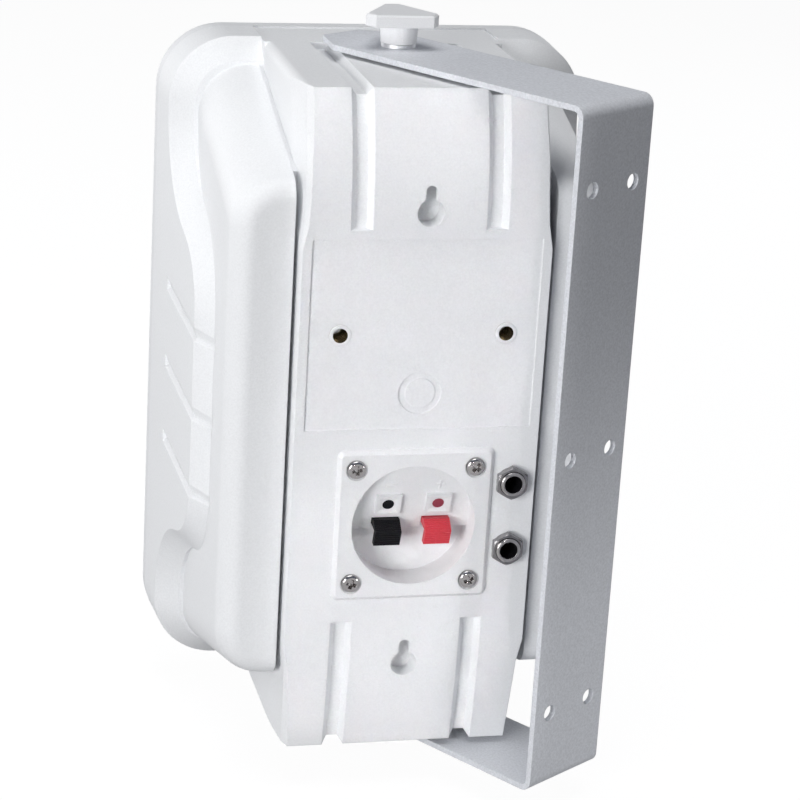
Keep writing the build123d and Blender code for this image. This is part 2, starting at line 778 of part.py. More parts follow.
def domed_cap(radius, height, sheet, base_y, z):
    """A thin spherical cap that bulges towards -Y from its base plane."""
    bend = (radius * radius + height * height) / (2 * height)
    centre = base_y - height + bend
    whole = Pos(0, centre, z) * (Sphere(bend) - Sphere(bend - sheet))
    return whole & post(0, z, base_y - height - 1, base_y, radius + 1)


def woofer_surround():
    """Half-roll rubber surround with a lip on the cone and a lip on the basket's flange."""
    y = baffle_y - glue_gap
    r0 = cone_radius - surround_lip / 2
    r1, r2 = cone_radius, basket_mouth_radius - 0.6
    r3 = r2 + surround_lip
    s = surround_sheet
    mid = (r1 + r2) / 2
    outer_arc = ThreePointArc((r1, y - s), (mid, y - surround_height), (r2, y - s))
    inner_arc = ThreePointArc((r1 + s, y), (mid, y - surround_height + s), (r2 - s, y))
    face = make_face(Curve() + [
        Line((r0, y), (r0, y - s)), Line((r0, y - s), (r1, y - s)), outer_arc,
        Line((r2, y - s), (r3, y - s)), Line((r3, y - s), (r3, y)), Line((r3, y), (r2 - s, y)),
        inner_arc, Line((r1 + s, y), (r0, y))])
    return revolve(Pos(0, 0, woofer_z) * face, axis=Axis((0, 0, woofer_z), (0, 1, 0)))


def woofer_spider():
    """Corrugated suspension disc between the former and the basket's ledge."""
    ledge_y = baffle_y + basket_depth - basket_sheet - spider_ledge
    r0 = former_radius + glue_gap
    r3 = basket_ledge_radius(ledge_y) - seat_fit
    r2 = basket_seat_radius - 4
    waves = 4
    steps = [r0 + (r2 - r0) * k / (2 * waves) for k in range(2 * waves + 1)]
    front = [(r, ledge_y - spider_sheet - spider_wave * (k % 2)) for k, r in enumerate(steps)]
    back = [(r, y + spider_sheet) for r, y in reversed(front)]
    return turned(front + [(r3, ledge_y - spider_sheet), (r3, ledge_y)] + back, woofer_z)


def tweeter():
    """Faceplate with a short horn, dome with its mounting ring, and motor."""
    front = baffle_y
    back = front + tweeter_flange
    plate = turned([(horn_throat, back), (tweeter_flange_radius, back), (tweeter_flange_radius, front),
                    (horn_mouth, front), (horn_throat, back - 0.6)], tweeter_z)
    for u, v in ring_of(tweeter_screw_ring, 4, 45):
        plate -= post(u, tweeter_z + v, front - 1, back + 1, screw_radius + screw_fit)
    ring = turned([(dome_radius - dome_sheet, back), (dome_ring, back), (dome_ring, back + dome_sheet),
                   (dome_radius - dome_sheet, back + dome_sheet)], tweeter_z)
    dome = ring + domed_cap(dome_radius, dome_height, dome_sheet, back + dome_sheet / 2, tweeter_z)
    start = back + dome_sheet
    end = start + tweeter_magnet_height
    wide, narrow = tweeter_magnet_radius - seat_fit, tweeter_magnet_radius - 3
    magnet = turned([(0, start + 2), (dome_radius - 2, start + 2), (dome_radius - 2, start), (wide, start),
                     (wide, end - 4), (narrow, end - 4), (narrow, end), (0, end)], tweeter_z)
    return plate, dome, magnet


def crossover():
    """Board on its ribs, with an air-core coil and a film capacitor."""
    front = board_y - board_thickness
    board = block(-board_width / 2, board_width / 2, front, board_y,
                  board_z - board_height / 2, board_z + board_height / 2)
    coil = post(-board_width / 4, board_z, front - coil_height, front, coil_outer)
    coil -= post(-board_width / 4, board_z, front - coil_height - 1, front + 1, coil_inner)
    x = board_width / 4 + 2
    half = capacitor_length / 2
    capacitor = pillar(x, front - capacitor_radius, board_z - half, board_z + half, capacitor_radius)
    capacitor = fillet(capacitor.edges().filter_by(GeomType.CIRCLE), 1.0)
    return board, coil, capacitor


def cup_face_y(rise):
    """Y of the cup's slanted face at a height above the cup's centre."""
    return cup_plate_rise - (cup_radius - rise) * cup_slope


def entry_plane(x):
    """Plane on the slanted face at one wire entry, facing out."""
    lean = math.radians(cup_lean)
    return Plane(origin=(x, cup_face_y(entry_rise), cup_z + entry_rise), x_dir=(1, 0, 0),
                 z_dir=(0, math.cos(lean), -math.sin(lean)))


def terminal_plate():
    """Square plate with a round cup: a slanted face with wire entries and lever pockets, and a floor."""
    half = cup_plate / 2
    outline = Plane.XZ.offset(-cup_plate_rise) * RectangleRounded(cup_plate, cup_plate, cup_plate_corner)
    plate = Pos(0, 0, cup_z) * extrude(outline, amount=cup_plate_rise)
    plate = chamfer(plate.faces().sort_by(Axis.Y)[-1].edges(), cup_plate_bevel, cup_plate_bevel)
    body = plate + post(0, cup_z, cup_back_y, 0.5, cup_radius + cup_wall)
    top, bottom = cup_z + cup_radius, cup_z - cup_radius
    space = side_slab(closed([
        (cup_plate_rise, top), (cup_step_y, cup_z - cup_step_drop), (cup_floor_y, cup_z - cup_step_drop),
        (cup_floor_y, bottom - 1), (cup_plate_rise + 2, bottom - 1), (cup_plate_rise + 2, top)]),
        -half, half)
    body -= space & post(0, cup_z, cup_floor_y, cup_plate_rise + 2, cup_radius)
    for x in entry_places:
        plane = entry_plane(x)
        body += extrude(plane * Rectangle(entry_frame_width, entry_frame_height), amount=entry_frame_rise)
        body -= extrude(plane.offset(entry_frame_rise) * Circle(entry_bore), amount=-entry_depth)
        inner = lever_width / 2 + lever_side_gap
        body -= block(x - inner, x + inner, hinge_y - hinge_radius - lever_side_gap, cup_plate_rise + 1,
                      cup_z - cup_step_drop - 1, cup_z + hinge_rise + hinge_radius + lever_side_gap)
        body -= pin_through(x, pin_radius + pin_fit)
    for x, z in cup_screws:
        body -= post(x, z, -1, cup_plate_rise + 1, screw_radius + screw_fit)
        body -= post(x, z, cup_plate_rise - cup_screw_sink, cup_plate_rise + 1, cup_screw_seat)
    return body


def pin_through(x, radius):
    """A hinge pin across one lever, held in both walls of its pocket."""
    reach = lever_width + 2 * (lever_side_gap + pin_grip)
    return Pos(x, hinge_y, cup_z + hinge_rise) * Rot(0, 90, 0) * Cylinder(radius, reach)


def lever(x):
    """Push lever: a hinge barrel with a bent tab that stands clear of the cup's floor."""
    knee_z = cup_z - lever_knee
    tip_z = cup_z - lever_reach
    top_z = cup_z + hinge_rise
    t = lever_thickness
    edges = closed([(hinge_y, top_z + hinge_radius), (lever_shoulder_y, cup_z + lever_shoulder_rise),
                    (lever_knee_y, knee_z), (lever_tip_y, tip_z), (lever_tip_y - t * 0.87, tip_z + 0.6),
                    (lever_knee_y - t, knee_z),
                    (hinge_y - hinge_radius * 0.55, top_z - hinge_radius * 0.7)])
    tab = side_slab(edges, x - lever_width / 2, x + lever_width / 2)
    barrel = Pos(x, hinge_y, top_z) * Rot(0, 90, 0) * Cylinder(hinge_radius, lever_width)
    return tab + barrel - pin_through(x, pin_radius + pin_fit)


def terminal_tags():
    """Two solder tags that stand out of the back of the cup."""
    tags = []
    for x in entry_places:
        tags.append(block(x - tag_width / 2, x + tag_width / 2, cup_back_y - tag_length, cup_back_y,
                          cup_z + cup_step_drop, cup_z + cup_step_drop + tag_thickness))
    return group(tags)


def jack(z):
    """Panel jack: threaded bushing with its socket, and a square body inside."""
    rise = jack_bushing_rise
    body = post(jack_x, z, -rear_wall, rise, jack_bushing_radius)
    half = jack_body / 2
    inner_end = -rear_wall - jack_body_depth
    body += block(jack_x - half, jack_x + half, inner_end, -rear_wall, z - half, z + half)
    body -= post(jack_x, z, rise - jack_bore_depth, rise + 1, jack_bore)
    mouth_y = rise - jack_mouth
    mouth = [(0, mouth_y), (jack_bore, mouth_y), (jack_bore + jack_mouth, rise), (0, rise)]
    return body - turned(mouth, z, jack_x)


def hex_nut(z):
    nut_radius = jack_nut_flats / math.sqrt(3)
    outline = Plane.XZ.offset(-jack_washer - jack_nut) * Rot(0, 0, 30) * RegularPolygon(nut_radius, 6)
    body = Pos(jack_x, 0, z) * extrude(outline, amount=jack_nut)
    return body - post(jack_x, z, 0, jack_washer + jack_nut + 1, jack_bushing_radius + screw_fit)


def jack_washer_ring(z):
    return (post(jack_x, z, 0, jack_washer, jack_washer_radius)
            - post(jack_x, z, -1, jack_washer + 1, jack_bushing_radius + screw_fit))


def insert(x, z):
    return post(x, z, -insert_length, 0, insert_radius) - post(x, z, -insert_length - 1, 1, insert_bore)


def pivot_insert(z):
    way = 1 if z > mid_z else -1
    end = z - way * pivot_insert_length
    body = pillar(0, pivot_y, end, z, pivot_insert_radius)
    return body - pillar(0, pivot_y, end - way, z + way, stud_radius + stud_fit)


arm_inner_top = spine_top + upper_arm_gap
arm_inner_bottom = spine_bottom - lower_arm_gap
arm_outer_top = arm_inner_top + bracket_sheet
arm_outer_bottom = arm_inner_bottom - bracket_sheet
bracket_mid_z = (arm_inner_top + arm_inner_bottom) / 2


def u_bracket():
    """Steel strip bent to a U, with cropped arm ends, pivot holes and six wall holes."""
    height = arm_outer_top - arm_outer_bottom
    reach = bracket_reach + bracket_tip
    outer = Pos(bracket_reach - reach / 2, bracket_mid_z) * Rectangle(reach, height)
    outer = fillet(outer.vertices().group_by(Axis.X)[-1], bracket_bend + bracket_sheet)
    inner = Rectangle(reach, height - 2 * bracket_sheet)
    inner = Pos(bracket_reach - bracket_sheet - reach / 2, bracket_mid_z) * inner
    inner = fillet(inner.vertices().group_by(Axis.X)[-1], bracket_bend)
    body = extrude(Plane.YZ * (outer - inner), amount=bracket_width / 2, both=True)
    half, tip = bracket_width / 2, bracket_tip_width / 2
    crop = bracket_tip_run - bracket_tip
    plan = [(-half, bracket_reach), (half, bracket_reach), (half, crop), (tip, -bracket_tip),
            (-tip, -bracket_tip), (-half, crop)]
    plan_face = Pos(0, 0, arm_outer_bottom - 1) * make_face(Polyline(*plan, close=True))
    body &= extrude(plan_face, amount=height + 2)
    body -= pillar(0, 0, arm_outer_bottom - 1, arm_outer_top + 1, stud_radius + pivot_hole_fit)
    for x in (-wall_hole_spacing / 2, wall_hole_spacing / 2):
        for k in (-1, 0, 1):
            z = bracket_mid_z + k * wall_hole_pitch
            body -= post(x, z, bracket_reach - bracket_sheet - 1, bracket_reach + 1, wall_hole_radius)
    return Pos(0, pivot_y, 0) * Rot(0, 0, swing) * body


def washer(z0, z1, radius):
    hole = pillar(0, pivot_y, z0 - 1, z1 + 1, stud_radius + pivot_hole_fit)
    return pillar(0, pivot_y, z0, z1, radius) - hole


def knob():
    """Three-sided clamping knob with cropped corners on a round boss, head up, its boss on Z = 0."""
    circum = 2 * knob_flat
    triangle = RegularPolygon(circum, 3, rotation=-90)
    crop = RegularPolygon(knob_corner, 3, major_radius=False, rotation=90)
    head = Pos(0, 0, knob_boss) * extrude(triangle & crop, amount=knob_head)
    head = chamfer(head.faces().sort_by(Axis.Z)[-1].edges(), 0.8)
    boss = Pos(0, 0, knob_boss / 2) * Cone(knob_boss_radius - 0.6, knob_boss_radius, knob_boss)
    socket = Pos(0, 0, stud_socket / 2) * Cylinder(stud_radius + stud_fit, stud_socket)
    return head + boss - socket


def knob_stud(length):
    """Stud fixed in the knob, reaching down into the cabinet's insert."""
    body = Pos(0, 0, (stud_socket - length) / 2) * Cylinder(stud_radius, stud_socket + length)
    return chamfer(body.edges().filter_by(GeomType.CIRCLE).sort_by(Axis.Z)[0], 0.8)


knob_seat = bracket_sheet + clamp_washer + knob_clearance
upper_place = Pos(0, pivot_y, arm_inner_top + knob_seat)
lower_place = Pos(0, pivot_y, arm_inner_bottom - knob_seat) * Rot(0, 180, 0)
stud_reach = knob_seat + pivot_insert_length - stud_tip_gap
front_plate, magnet, yoke = woofer_motor()
face_plate, tweeter_dome, tweeter_magnet = tweeter()
board, filter_coil, capacitor = crossover()
pad_washers = [washer(spine_top, arm_inner_top - pad_washer_clearance, pad_washer_radius),
               washer(arm_inner_bottom + pad_washer_clearance, spine_bottom, pad_washer_radius)]
clamp_washers = [washer(arm_outer_top, arm_outer_top + clamp_washer, clamp_washer_radius),
                 washer(arm_outer_bottom - clamp_washer, arm_outer_bottom, clamp_washer_radius)]
driver_screws = {
    "woofer_screws": (woofer_z, woofer_screw_ring, woofer_screw_length),
    "tweeter_screws": (tweeter_z, tweeter_screw_ring, tweeter_screw_length),
}

nodes = {
    "rear_cabinet": rear_cabinet(),
    "front_baffle": front_baffle(),
    "grille": grille(),
    "baffle_screws": group(pan_screw(x, z, baffle_y, -1, baffle_screw_length, screw_head_radius, screw_head)
                           for x, z in baffle_screws),
    "woofer_basket": woofer_basket(),
    "woofer_front_plate": front_plate,
    "woofer_magnet": magnet,
    "woofer_yoke": yoke,
    "woofer_cone": woofer_cone(),
    "woofer_voice_coil": voice_coil(),
    "woofer_dust_cap": dust_cap(),
    "woofer_surround": woofer_surround(),
    "woofer_spider": woofer_spider(),
    "tweeter_faceplate": face_plate,
    "tweeter_dome": tweeter_dome,
    "tweeter_magnet": tweeter_magnet,
    "crossover_board": board,
    "crossover_coil": filter_coil,
    "crossover_capacitor": capacitor,
    "terminal_plate": terminal_plate(),
    "terminal_screws": group(pan_screw(x, z, cup_plate_rise - cup_screw_sink, 1, cup_screw_length,
                                       cup_screw_head, cup_screw_dome) for x, z in cup_screws),
    "terminal_tags": terminal_tags(),
    "lever_pins": group(pin_through(x, pin_radius) for x in entry_places),
    "black_lever": lever(entry_places[0]),
    "red_lever": lever(entry_places[1]),
    "upper_jack": jack(jack_heights[0]),
    "lower_jack": jack(jack_heights[1]),
    "jack_nuts": group(hex_nut(z) for z in jack_heights),
    "jack_washers": group(jack_washer_ring(z) for z in jack_heights),
    "rear_inserts": group(insert(x, z) for x, z in insert_places),
    "pivot_inserts": group(pivot_insert(z) for z in (spine_top, spine_bottom)),
    "u_bracket": u_bracket(),
    "friction_washers": group(pad_washers),
    "clamp_washers": group(clamp_washers),
    "upper_knob": upper_place * knob(),
    "upper_knob_stud": upper_place * knob_stud(stud_reach),
    "lower_knob": lower_place * knob(),
    "lower_knob_stud": lower_place * knob_stud(stud_reach),
}
for name, (z, ring, length) in driver_screws.items():
    nodes[name] = group(pan_screw(u, z + v, baffle_y, -1, length, screw_head_radius, screw_head)
                        for u, v in ring_of(ring, 4, 45))

os.makedirs("parts", exist_ok=True)
for name, shape in nodes.items():
    export_step(shape, f"parts/{name}.step")
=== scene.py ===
import json
import math

import bpy
from mathutils import Matrix, Vector

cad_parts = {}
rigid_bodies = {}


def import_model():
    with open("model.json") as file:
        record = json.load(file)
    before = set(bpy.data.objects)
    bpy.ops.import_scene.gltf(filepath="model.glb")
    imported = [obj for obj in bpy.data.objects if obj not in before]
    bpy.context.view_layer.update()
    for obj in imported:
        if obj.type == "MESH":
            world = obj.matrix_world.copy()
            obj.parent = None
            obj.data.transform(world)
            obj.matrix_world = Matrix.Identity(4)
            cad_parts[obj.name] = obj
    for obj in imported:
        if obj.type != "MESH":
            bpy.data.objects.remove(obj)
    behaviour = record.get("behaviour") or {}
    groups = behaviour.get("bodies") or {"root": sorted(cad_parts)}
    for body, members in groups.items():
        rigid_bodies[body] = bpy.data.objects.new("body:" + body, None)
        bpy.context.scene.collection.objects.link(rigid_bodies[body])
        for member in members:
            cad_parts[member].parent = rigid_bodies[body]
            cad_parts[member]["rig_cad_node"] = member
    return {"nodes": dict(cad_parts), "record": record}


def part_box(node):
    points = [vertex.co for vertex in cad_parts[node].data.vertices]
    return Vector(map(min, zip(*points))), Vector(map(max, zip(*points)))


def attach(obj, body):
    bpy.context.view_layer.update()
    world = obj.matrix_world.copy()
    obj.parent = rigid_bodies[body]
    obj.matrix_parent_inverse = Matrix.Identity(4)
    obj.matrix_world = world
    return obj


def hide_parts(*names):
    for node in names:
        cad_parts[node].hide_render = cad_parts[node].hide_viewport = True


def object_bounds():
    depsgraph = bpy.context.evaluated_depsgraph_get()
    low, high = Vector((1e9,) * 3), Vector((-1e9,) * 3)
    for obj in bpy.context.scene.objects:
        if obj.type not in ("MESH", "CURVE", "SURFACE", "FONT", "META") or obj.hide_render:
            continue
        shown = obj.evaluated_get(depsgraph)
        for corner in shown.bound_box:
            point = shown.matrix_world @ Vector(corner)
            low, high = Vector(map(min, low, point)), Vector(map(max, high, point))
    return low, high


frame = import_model()
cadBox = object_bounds()
nodes = frame["nodes"]
bodies = frame["record"]["behaviour"]["bodies"]
bodyOf = {node: body for body, members in bodies.items() for node in members}
slotOf = {node: nodes[node].data.materials[0].name for node in nodes}
mm = 0.001
tiny = 1e-6
facing = 0.9                                      # a normal's least share along an axis it faces
rearward, forward = 1, -1                         # ways to look along Y


# Shader maths

noiseMean = 0.5
bevelSamples = 6


class Wire:
    def __init__(self, finish, socket):
        self.finish, self.socket = finish, socket

    def maths(self, operation, first, second):
        return self.finish.node("Math", {"operation": operation}, {0: first, 1: second})

    def __add__(self, other):
        return self.maths("ADD", self, other)

    def __radd__(self, other):
        return self.maths("ADD", other, self)

    def __sub__(self, other):
        return self.maths("SUBTRACT", self, other)

    def __mul__(self, other):
        return self.maths("MULTIPLY", self, other)


class Finish:
    def __init__(self, owner):
        owner.use_nodes = True
        self.material = owner
        self.tree = owner.node_tree
        self.shader = self.tree.nodes.get("Principled BSDF")

    def feed(self, socket, value):
        if isinstance(value, Wire):
            self.tree.links.new(value.socket, socket)
        elif isinstance(value, tuple) and len(value) == 3 and socket.type == "RGBA":
            socket.default_value = (*value, 1)
        else:
            socket.default_value = value

    def node(self, kind, settings, sockets, out=0):
        made = self.tree.nodes.new("ShaderNode" + kind)
        for name, value in settings.items():
            setattr(made, name, value)
        for name, value in sockets.items():
            self.feed(made.inputs[name], value)
        return Wire(self, made.outputs[out])

    def place(self):
        return self.node("TexCoord", {}, {}, "Object")

    def noise(self, scale, detail, rough=0.5):
        return self.node("TexNoise", {}, {"Vector": self.place(), "Scale": scale, "Detail": detail,
                                          "Roughness": rough})

    def blend(self, share, first, second):
        return self.node("Mix", {"data_type": "RGBA"}, {0: share, 6: first, 7: second}, 2)

    def bumps(self, height, strength, depth, normal=None):
        sockets = {"Height": height, "Strength": strength, "Distance": depth}
        if normal:
            sockets["Normal"] = normal
        return self.node("Bump", {}, sockets)

    def roundEdges(self, radius):
        return self.node("Bevel", {"samples": bevelSamples}, {"Radius": radius})

    def rays(self, kind):
        return self.node("LightPath", {}, {}, kind)

    def seen(self):
        # Rays that come straight from the camera, or through a clear surface
        return self.rays("Is Camera Ray") + self.rays("Is Transmission Ray")

    def surface(self, **sockets):
        for name, value in sockets.items():
            self.feed(self.shader.inputs[" ".join(w.capitalize() for w in name.split("_"))], value)
        return self.material


# Finishes

plasticLook = {"colour": (0.88, 0.89, 0.905), "shade": 0.93, "speckle": 2.4, "evenShare": 0.35,
               "grain": 1250.0, "grainDetail": 2.0, "grainRough": 0.6,
               "cloud": 14.0, "cloudDetail": 3.0, "cloudShare": 0.3,
               "relief": 0.5, "depth": 0.12 * mm, "rough": 0.6, "roughSpread": 0.16, "edge": 0.45 * mm,
               "specular": 0.3}
plastics = {
    "cabinet_plastic": {},
    "baffle_plastic": {"colour": (0.84, 0.85, 0.865)},
    "terminal_plastic": {"colour": (0.86, 0.865, 0.88), "grain": 2400.0, "relief": 0.1, "edge": 0.25 * mm},
    "knob_plastic": {"colour": (0.85, 0.855, 0.87), "grain": 2000.0, "edge": 0.5 * mm},
    "grille_paint": {"colour": (0.82, 0.83, 0.845), "grain": 1100.0, "rough": 0.42, "edge": 0.2 * mm},
    "bracket_paint": {"colour": (0.77, 0.788, 0.83), "shade": 0.82, "grain": 1000.0, "relief": 0.8,
                      "rough": 0.5, "edge": 0.4 * mm},
    "black_plastic": {"colour": (0.007, 0.007, 0.009), "shade": 0.8, "relief": 0.15, "rough": 0.5,
                      "edge": 0.2 * mm, "specular": 0.12},
    "red_plastic": {"colour": (0.68, 0.052, 0.075), "shade": 0.92, "relief": 0.15, "rough": 0.42,
                    "edge": 0.2 * mm},
    # a darker copy of the red plastic for the red stop deep in its wire entry: painted shade of the recess
    "entryRed": {"colour": (0.3, 0.045, 0.07), "rough": 0.5},
    "jack_plastic": {"colour": (0.004, 0.004, 0.005), "rough": 0.5, "edge": 0.2 * mm, "specular": 0.1},
    "board_resin": {"colour": (0.05, 0.19, 0.08), "shade": 0.85, "edge": 0.1 * mm},
    "capacitor_sleeve": {"colour": (0.62, 0.42, 0.05), "shade": 0.85, "rough": 0.35},
    "washer_rubber": {"colour": (0.03, 0.03, 0.032), "shade": 0.8, "rough": 0.7},
    "surround_rubber": {"colour": (0.02, 0.02, 0.022), "shade": 0.8, "rough": 0.5},
}


def mouldedPlastic(name, look):
    finish = Finish(bpy.data.materials.new(name))
    grain = finish.noise(look["grain"], look["grainDetail"], look["grainRough"])
    cloud = finish.noise(look["cloud"], look["cloudDetail"])
    mottle = cloud * look["cloudShare"] + (grain - noiseMean) * look["speckle"] + look["evenShare"]
    colour = finish.blend(mottle, tuple(c * look["shade"] for c in look["colour"]), look["colour"])
    normal = finish.roundEdges(look["edge"])
    normal = finish.bumps(grain, look["relief"], look["depth"], normal)
    rough = look["rough"] + (grain - noiseMean) * look["roughSpread"]
    finish.surface(base_color=colour, roughness=rough, normal=normal)
    finish.shader.inputs["Specular IOR Level"].default_value = look["specular"]
    return finish.material


metalLook = {"colour": (0.74, 0.72, 0.7), "dark": (0.6, 0.58, 0.57), "smear": 420.0, "smearDetail": 4.0,
             "smearRough": 0.6, "rough": 0.2, "roughSpread": 0.12, "relief": 0.12, "depth": 0.05 * mm,
             "edge": 0.15 * mm}
metals = {
    "screw_steel": {"colour": (0.68, 0.66, 0.65), "dark": (0.44, 0.42, 0.42), "rough": 0.09,
                    "roughSpread": 0.08},
    "nut_plate": {"colour": (0.44, 0.43, 0.43), "dark": (0.27, 0.26, 0.265), "rough": 0.22},
    "washerZinc": {"colour": (0.88, 0.88, 0.89), "dark": (0.78, 0.78, 0.79), "rough": 0.5},
    "driver_steel": {"colour": (0.1, 0.1, 0.105), "dark": (0.06, 0.06, 0.063), "rough": 0.45},
    "motor_steel": {"colour": (0.66, 0.6, 0.42), "dark": (0.52, 0.47, 0.33), "rough": 0.32},
    # brass darkened towards brown: partly the metal's own tone, partly painted shade deep in the insert's bore
    "insert_brass": {"colour": (0.46, 0.4, 0.29), "dark": (0.2, 0.165, 0.11), "rough": 0.22},
    "contact_brass": {"colour": (0.8, 0.66, 0.38), "dark": (0.6, 0.47, 0.24), "rough": 0.28},
    "coil_copper": {"colour": (0.78, 0.36, 0.18), "dark": (0.5, 0.2, 0.09), "rough": 0.3},
}


def polishedMetal(name, look):
    finish = Finish(bpy.data.materials.new(name))
    smear = finish.noise(look["smear"], look["smearDetail"], look["smearRough"])
    colour = finish.blend(smear, look["dark"], look["colour"])
    rough = look["rough"] + (smear - noiseMean) * look["roughSpread"]
    normal = finish.bumps(smear, look["relief"], look["depth"], finish.roundEdges(look["edge"]))
    return finish.surface(base_color=colour, metallic=1.0, roughness=rough, normal=normal)


fibreLook = {"colour": (0.05, 0.05, 0.052), "dark": (0.02, 0.02, 0.021), "rough": 0.85,
             "grain": 900.0, "grainDetail": 6.0, "grainRough": 0.7, "grainShare": 0.6,
             "cloud": 40.0, "cloudDetail": 2.0, "cloudShare": 0.4, "relief": 0.5, "depth": 0.2 * mm}
fibres = {
    "ferrite": {"colour": (0.06, 0.06, 0.065), "rough": 0.6},
    "cone_paper": {},
    "silk": {"colour": (0.045, 0.045, 0.055), "grain": 2200.0, "rough": 0.6},
}


def fibrous(name, look):
    finish = Finish(bpy.data.materials.new(name))
    fibre = finish.noise(look["grain"], look["grainDetail"], look["grainRough"])
    cloud = finish.noise(look["cloud"], look["cloudDetail"])
    mottle = fibre * look["grainShare"] + cloud * look["cloudShare"]
    colour = finish.blend(mottle, look["dark"], look["colour"])
    normal = finish.bumps(fibre, look["relief"], look["depth"])
    return finish.surface(base_color=colour, roughness=look["rough"], normal=normal)


finishes = {}
for make, look, changes in ((mouldedPlastic, plasticLook, plastics), (polishedMetal, metalLook, metals),
                            (fibrous, fibreLook, fibres)):
    for slot, change in changes.items():
        finishes[slot] = make(slot, {**look, **change})
lookOf = {**slotOf, "clamp_washers": "washerZinc"}
for node, slot in lookOf.items():
    nodes[node].material_slots[0].material = finishes[slot]
print("finishes made:", len(finishes))


# Modelling helpers

def pick(piece):
    if bpy.context.object and bpy.context.object.mode != "OBJECT":
        bpy.ops.object.mode_set(mode="OBJECT")
    bpy.ops.object.select_all(action="DESELECT")
    piece.select_set(True)
    bpy.context.view_layer.objects.active = piece
    return piece


def settle(piece):
    pick(piece)
    bpy.ops.object.transform_apply(location=True, rotation=True, scale=True)
    return piece


def choose(piece, kind, test):
    # Leaves the piece in edit mode, with the faces or edges selected that pass the test
    pick(piece)
    bpy.ops.object.mode_set(mode="EDIT")
    bpy.ops.mesh.select_mode(type=kind)
    bpy.ops.mesh.select_all(action="DESELECT")
    bpy.ops.object.mode_set(mode="OBJECT")
    mesh = piece.data
    if kind == "FACE":
        for face in mesh.polygons:
            face.select = test(face.center, face.normal)
    else:
        for edge in mesh.edges:
            edge.select = test(*(mesh.vertices[i].co for i in edge.vertices))
    bpy.ops.object.mode_set(mode="EDIT")


def bevelChosen(piece, offset, steps):
    bpy.ops.mesh.bevel(offset=offset, segments=steps, affect="EDGES")
    bpy.ops.object.mode_set(mode="OBJECT")
    return piece


def makeBlock(size, centre=(0, 0, 0)):
    bpy.ops.mesh.primitive_cube_add(size=1, location=centre)
    block = bpy.context.object
    block.scale = size
    return settle(block)


def cut(piece, tool, operation="DIFFERENCE"):
    pick(piece)
    modifier = piece.modifiers.new("cut", "BOOLEAN")
    modifier.operation, modifier.object, modifier.solver = operation, tool, "EXACT"
    bpy.ops.object.modifier_apply(modifier=modifier.name)
    bpy.data.objects.remove(tool)


def duplicate(piece):
    made = piece.copy()
    made.data = piece.data.copy()
    bpy.context.scene.collection.objects.link(made)
    return made


def joined(pieces):
    pick(pieces[0])
    for piece in pieces:
        piece.select_set(True)
    bpy.ops.object.join()
    return bpy.context.object


def smooth(piece, angle=35):
    pick(piece)
    bpy.ops.object.shade_smooth_by_angle(angle=math.radians(angle))
    return piece


def mend(piece, reach=0.004 * mm):
    pick(piece)
    bpy.ops.object.mode_set(mode="EDIT")
    bpy.ops.mesh.select_all(action="SELECT")
    bpy.ops.mesh.remove_doubles(threshold=reach)
    bpy.ops.mesh.normals_make_consistent(inside=False)
    bpy.ops.object.mode_set(mode="OBJECT")
    return piece


def turn(rings, sides):
    # Rings of (radius, height) drawn out one after another from a circle
    radius, height = rings[0]
    bpy.ops.mesh.primitive_circle_add(vertices=sides, radius=radius, location=(0, 0, height))
    piece = settle(bpy.context.object)
    bpy.ops.object.mode_set(mode="EDIT")
    bpy.ops.mesh.select_mode(type="EDGE")
    bpy.ops.mesh.select_all(action="SELECT")
    for nextRadius, nextHeight in rings[1:]:
        bpy.ops.mesh.extrude_region_move(TRANSFORM_OT_translate={"value": (0, 0, nextHeight - height)})
        grow = nextRadius / radius
        bpy.ops.transform.resize(value=(grow, grow, 1))
        radius, height = nextRadius, nextHeight
    bpy.ops.object.mode_set(mode="OBJECT")
    return piece


def faceAlongY(piece, place, spin=0.0, way=rearward):
    # Turns a piece made along Z to look along Y, then moves it
    upright = Matrix.Rotation(math.radians(-90 * way), 4, "X")
    spun = Matrix.Rotation(math.radians(spin), 4, "Z")
    piece.matrix_world = Matrix.Translation(place) @ upright @ spun
    return settle(piece)


def looseBoxes(node):
    # The lowest and highest corner of each loose part of a CAD node, from the bottom up
    piece = duplicate(nodes[node])
    piece.parent = None
    mend(piece)
    bpy.ops.object.mode_set(mode="EDIT")
    bpy.ops.mesh.separate(type="LOOSE")
    bpy.ops.object.mode_set(mode="OBJECT")
    boxes = []
    for part in list(bpy.context.selected_objects):
        corners = [Vector(c) for c in part.bound_box]
        boxes.append((Vector(map(min, zip(*corners))), Vector(map(max, zip(*corners)))))
        bpy.data.objects.remove(part)
    return sorted(boxes, key=lambda box: (round(box[0].z, 4), box[0].x))


def spread(first, boxes, seats, turns=(0,), way=rearward):
    # Copies of one piece, each at the middle of its box and at its own depth
    copies = []
    for index, ((low, high), seat) in enumerate(zip(boxes, seats)):
        centre = (low + high) / 2
        place = Vector((centre.x, seat, centre.z))
        copies.append(faceAlongY(duplicate(first), place, turns[index % len(turns)], way))
    bpy.data.objects.remove(first)
    return joined(copies)


def paint(piece, *slots):
    piece.data.materials.clear()
    for slot in slots:
        piece.data.materials.append(finishes[slot])


def standFor(piece, name, node):
    piece.name = piece.data.name = name
    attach(piece, bodyOf[node])
    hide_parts(node)


# Cross-head screws

screwSizes = {"sides": 40, "shank": 1.5 * mm, "roundShare": 0.8, "roundSteps": 7, "slotReach": 0.76,
              "slotWidth": 0.6, "slotDepth": 1.2, "slotTaper": 0.4, "smoothAngle": 40,
              "turns": (22, 71, 48, 5, 63, 34), "rearHead": 1.7 * mm, "frontHead": 1.8 * mm}


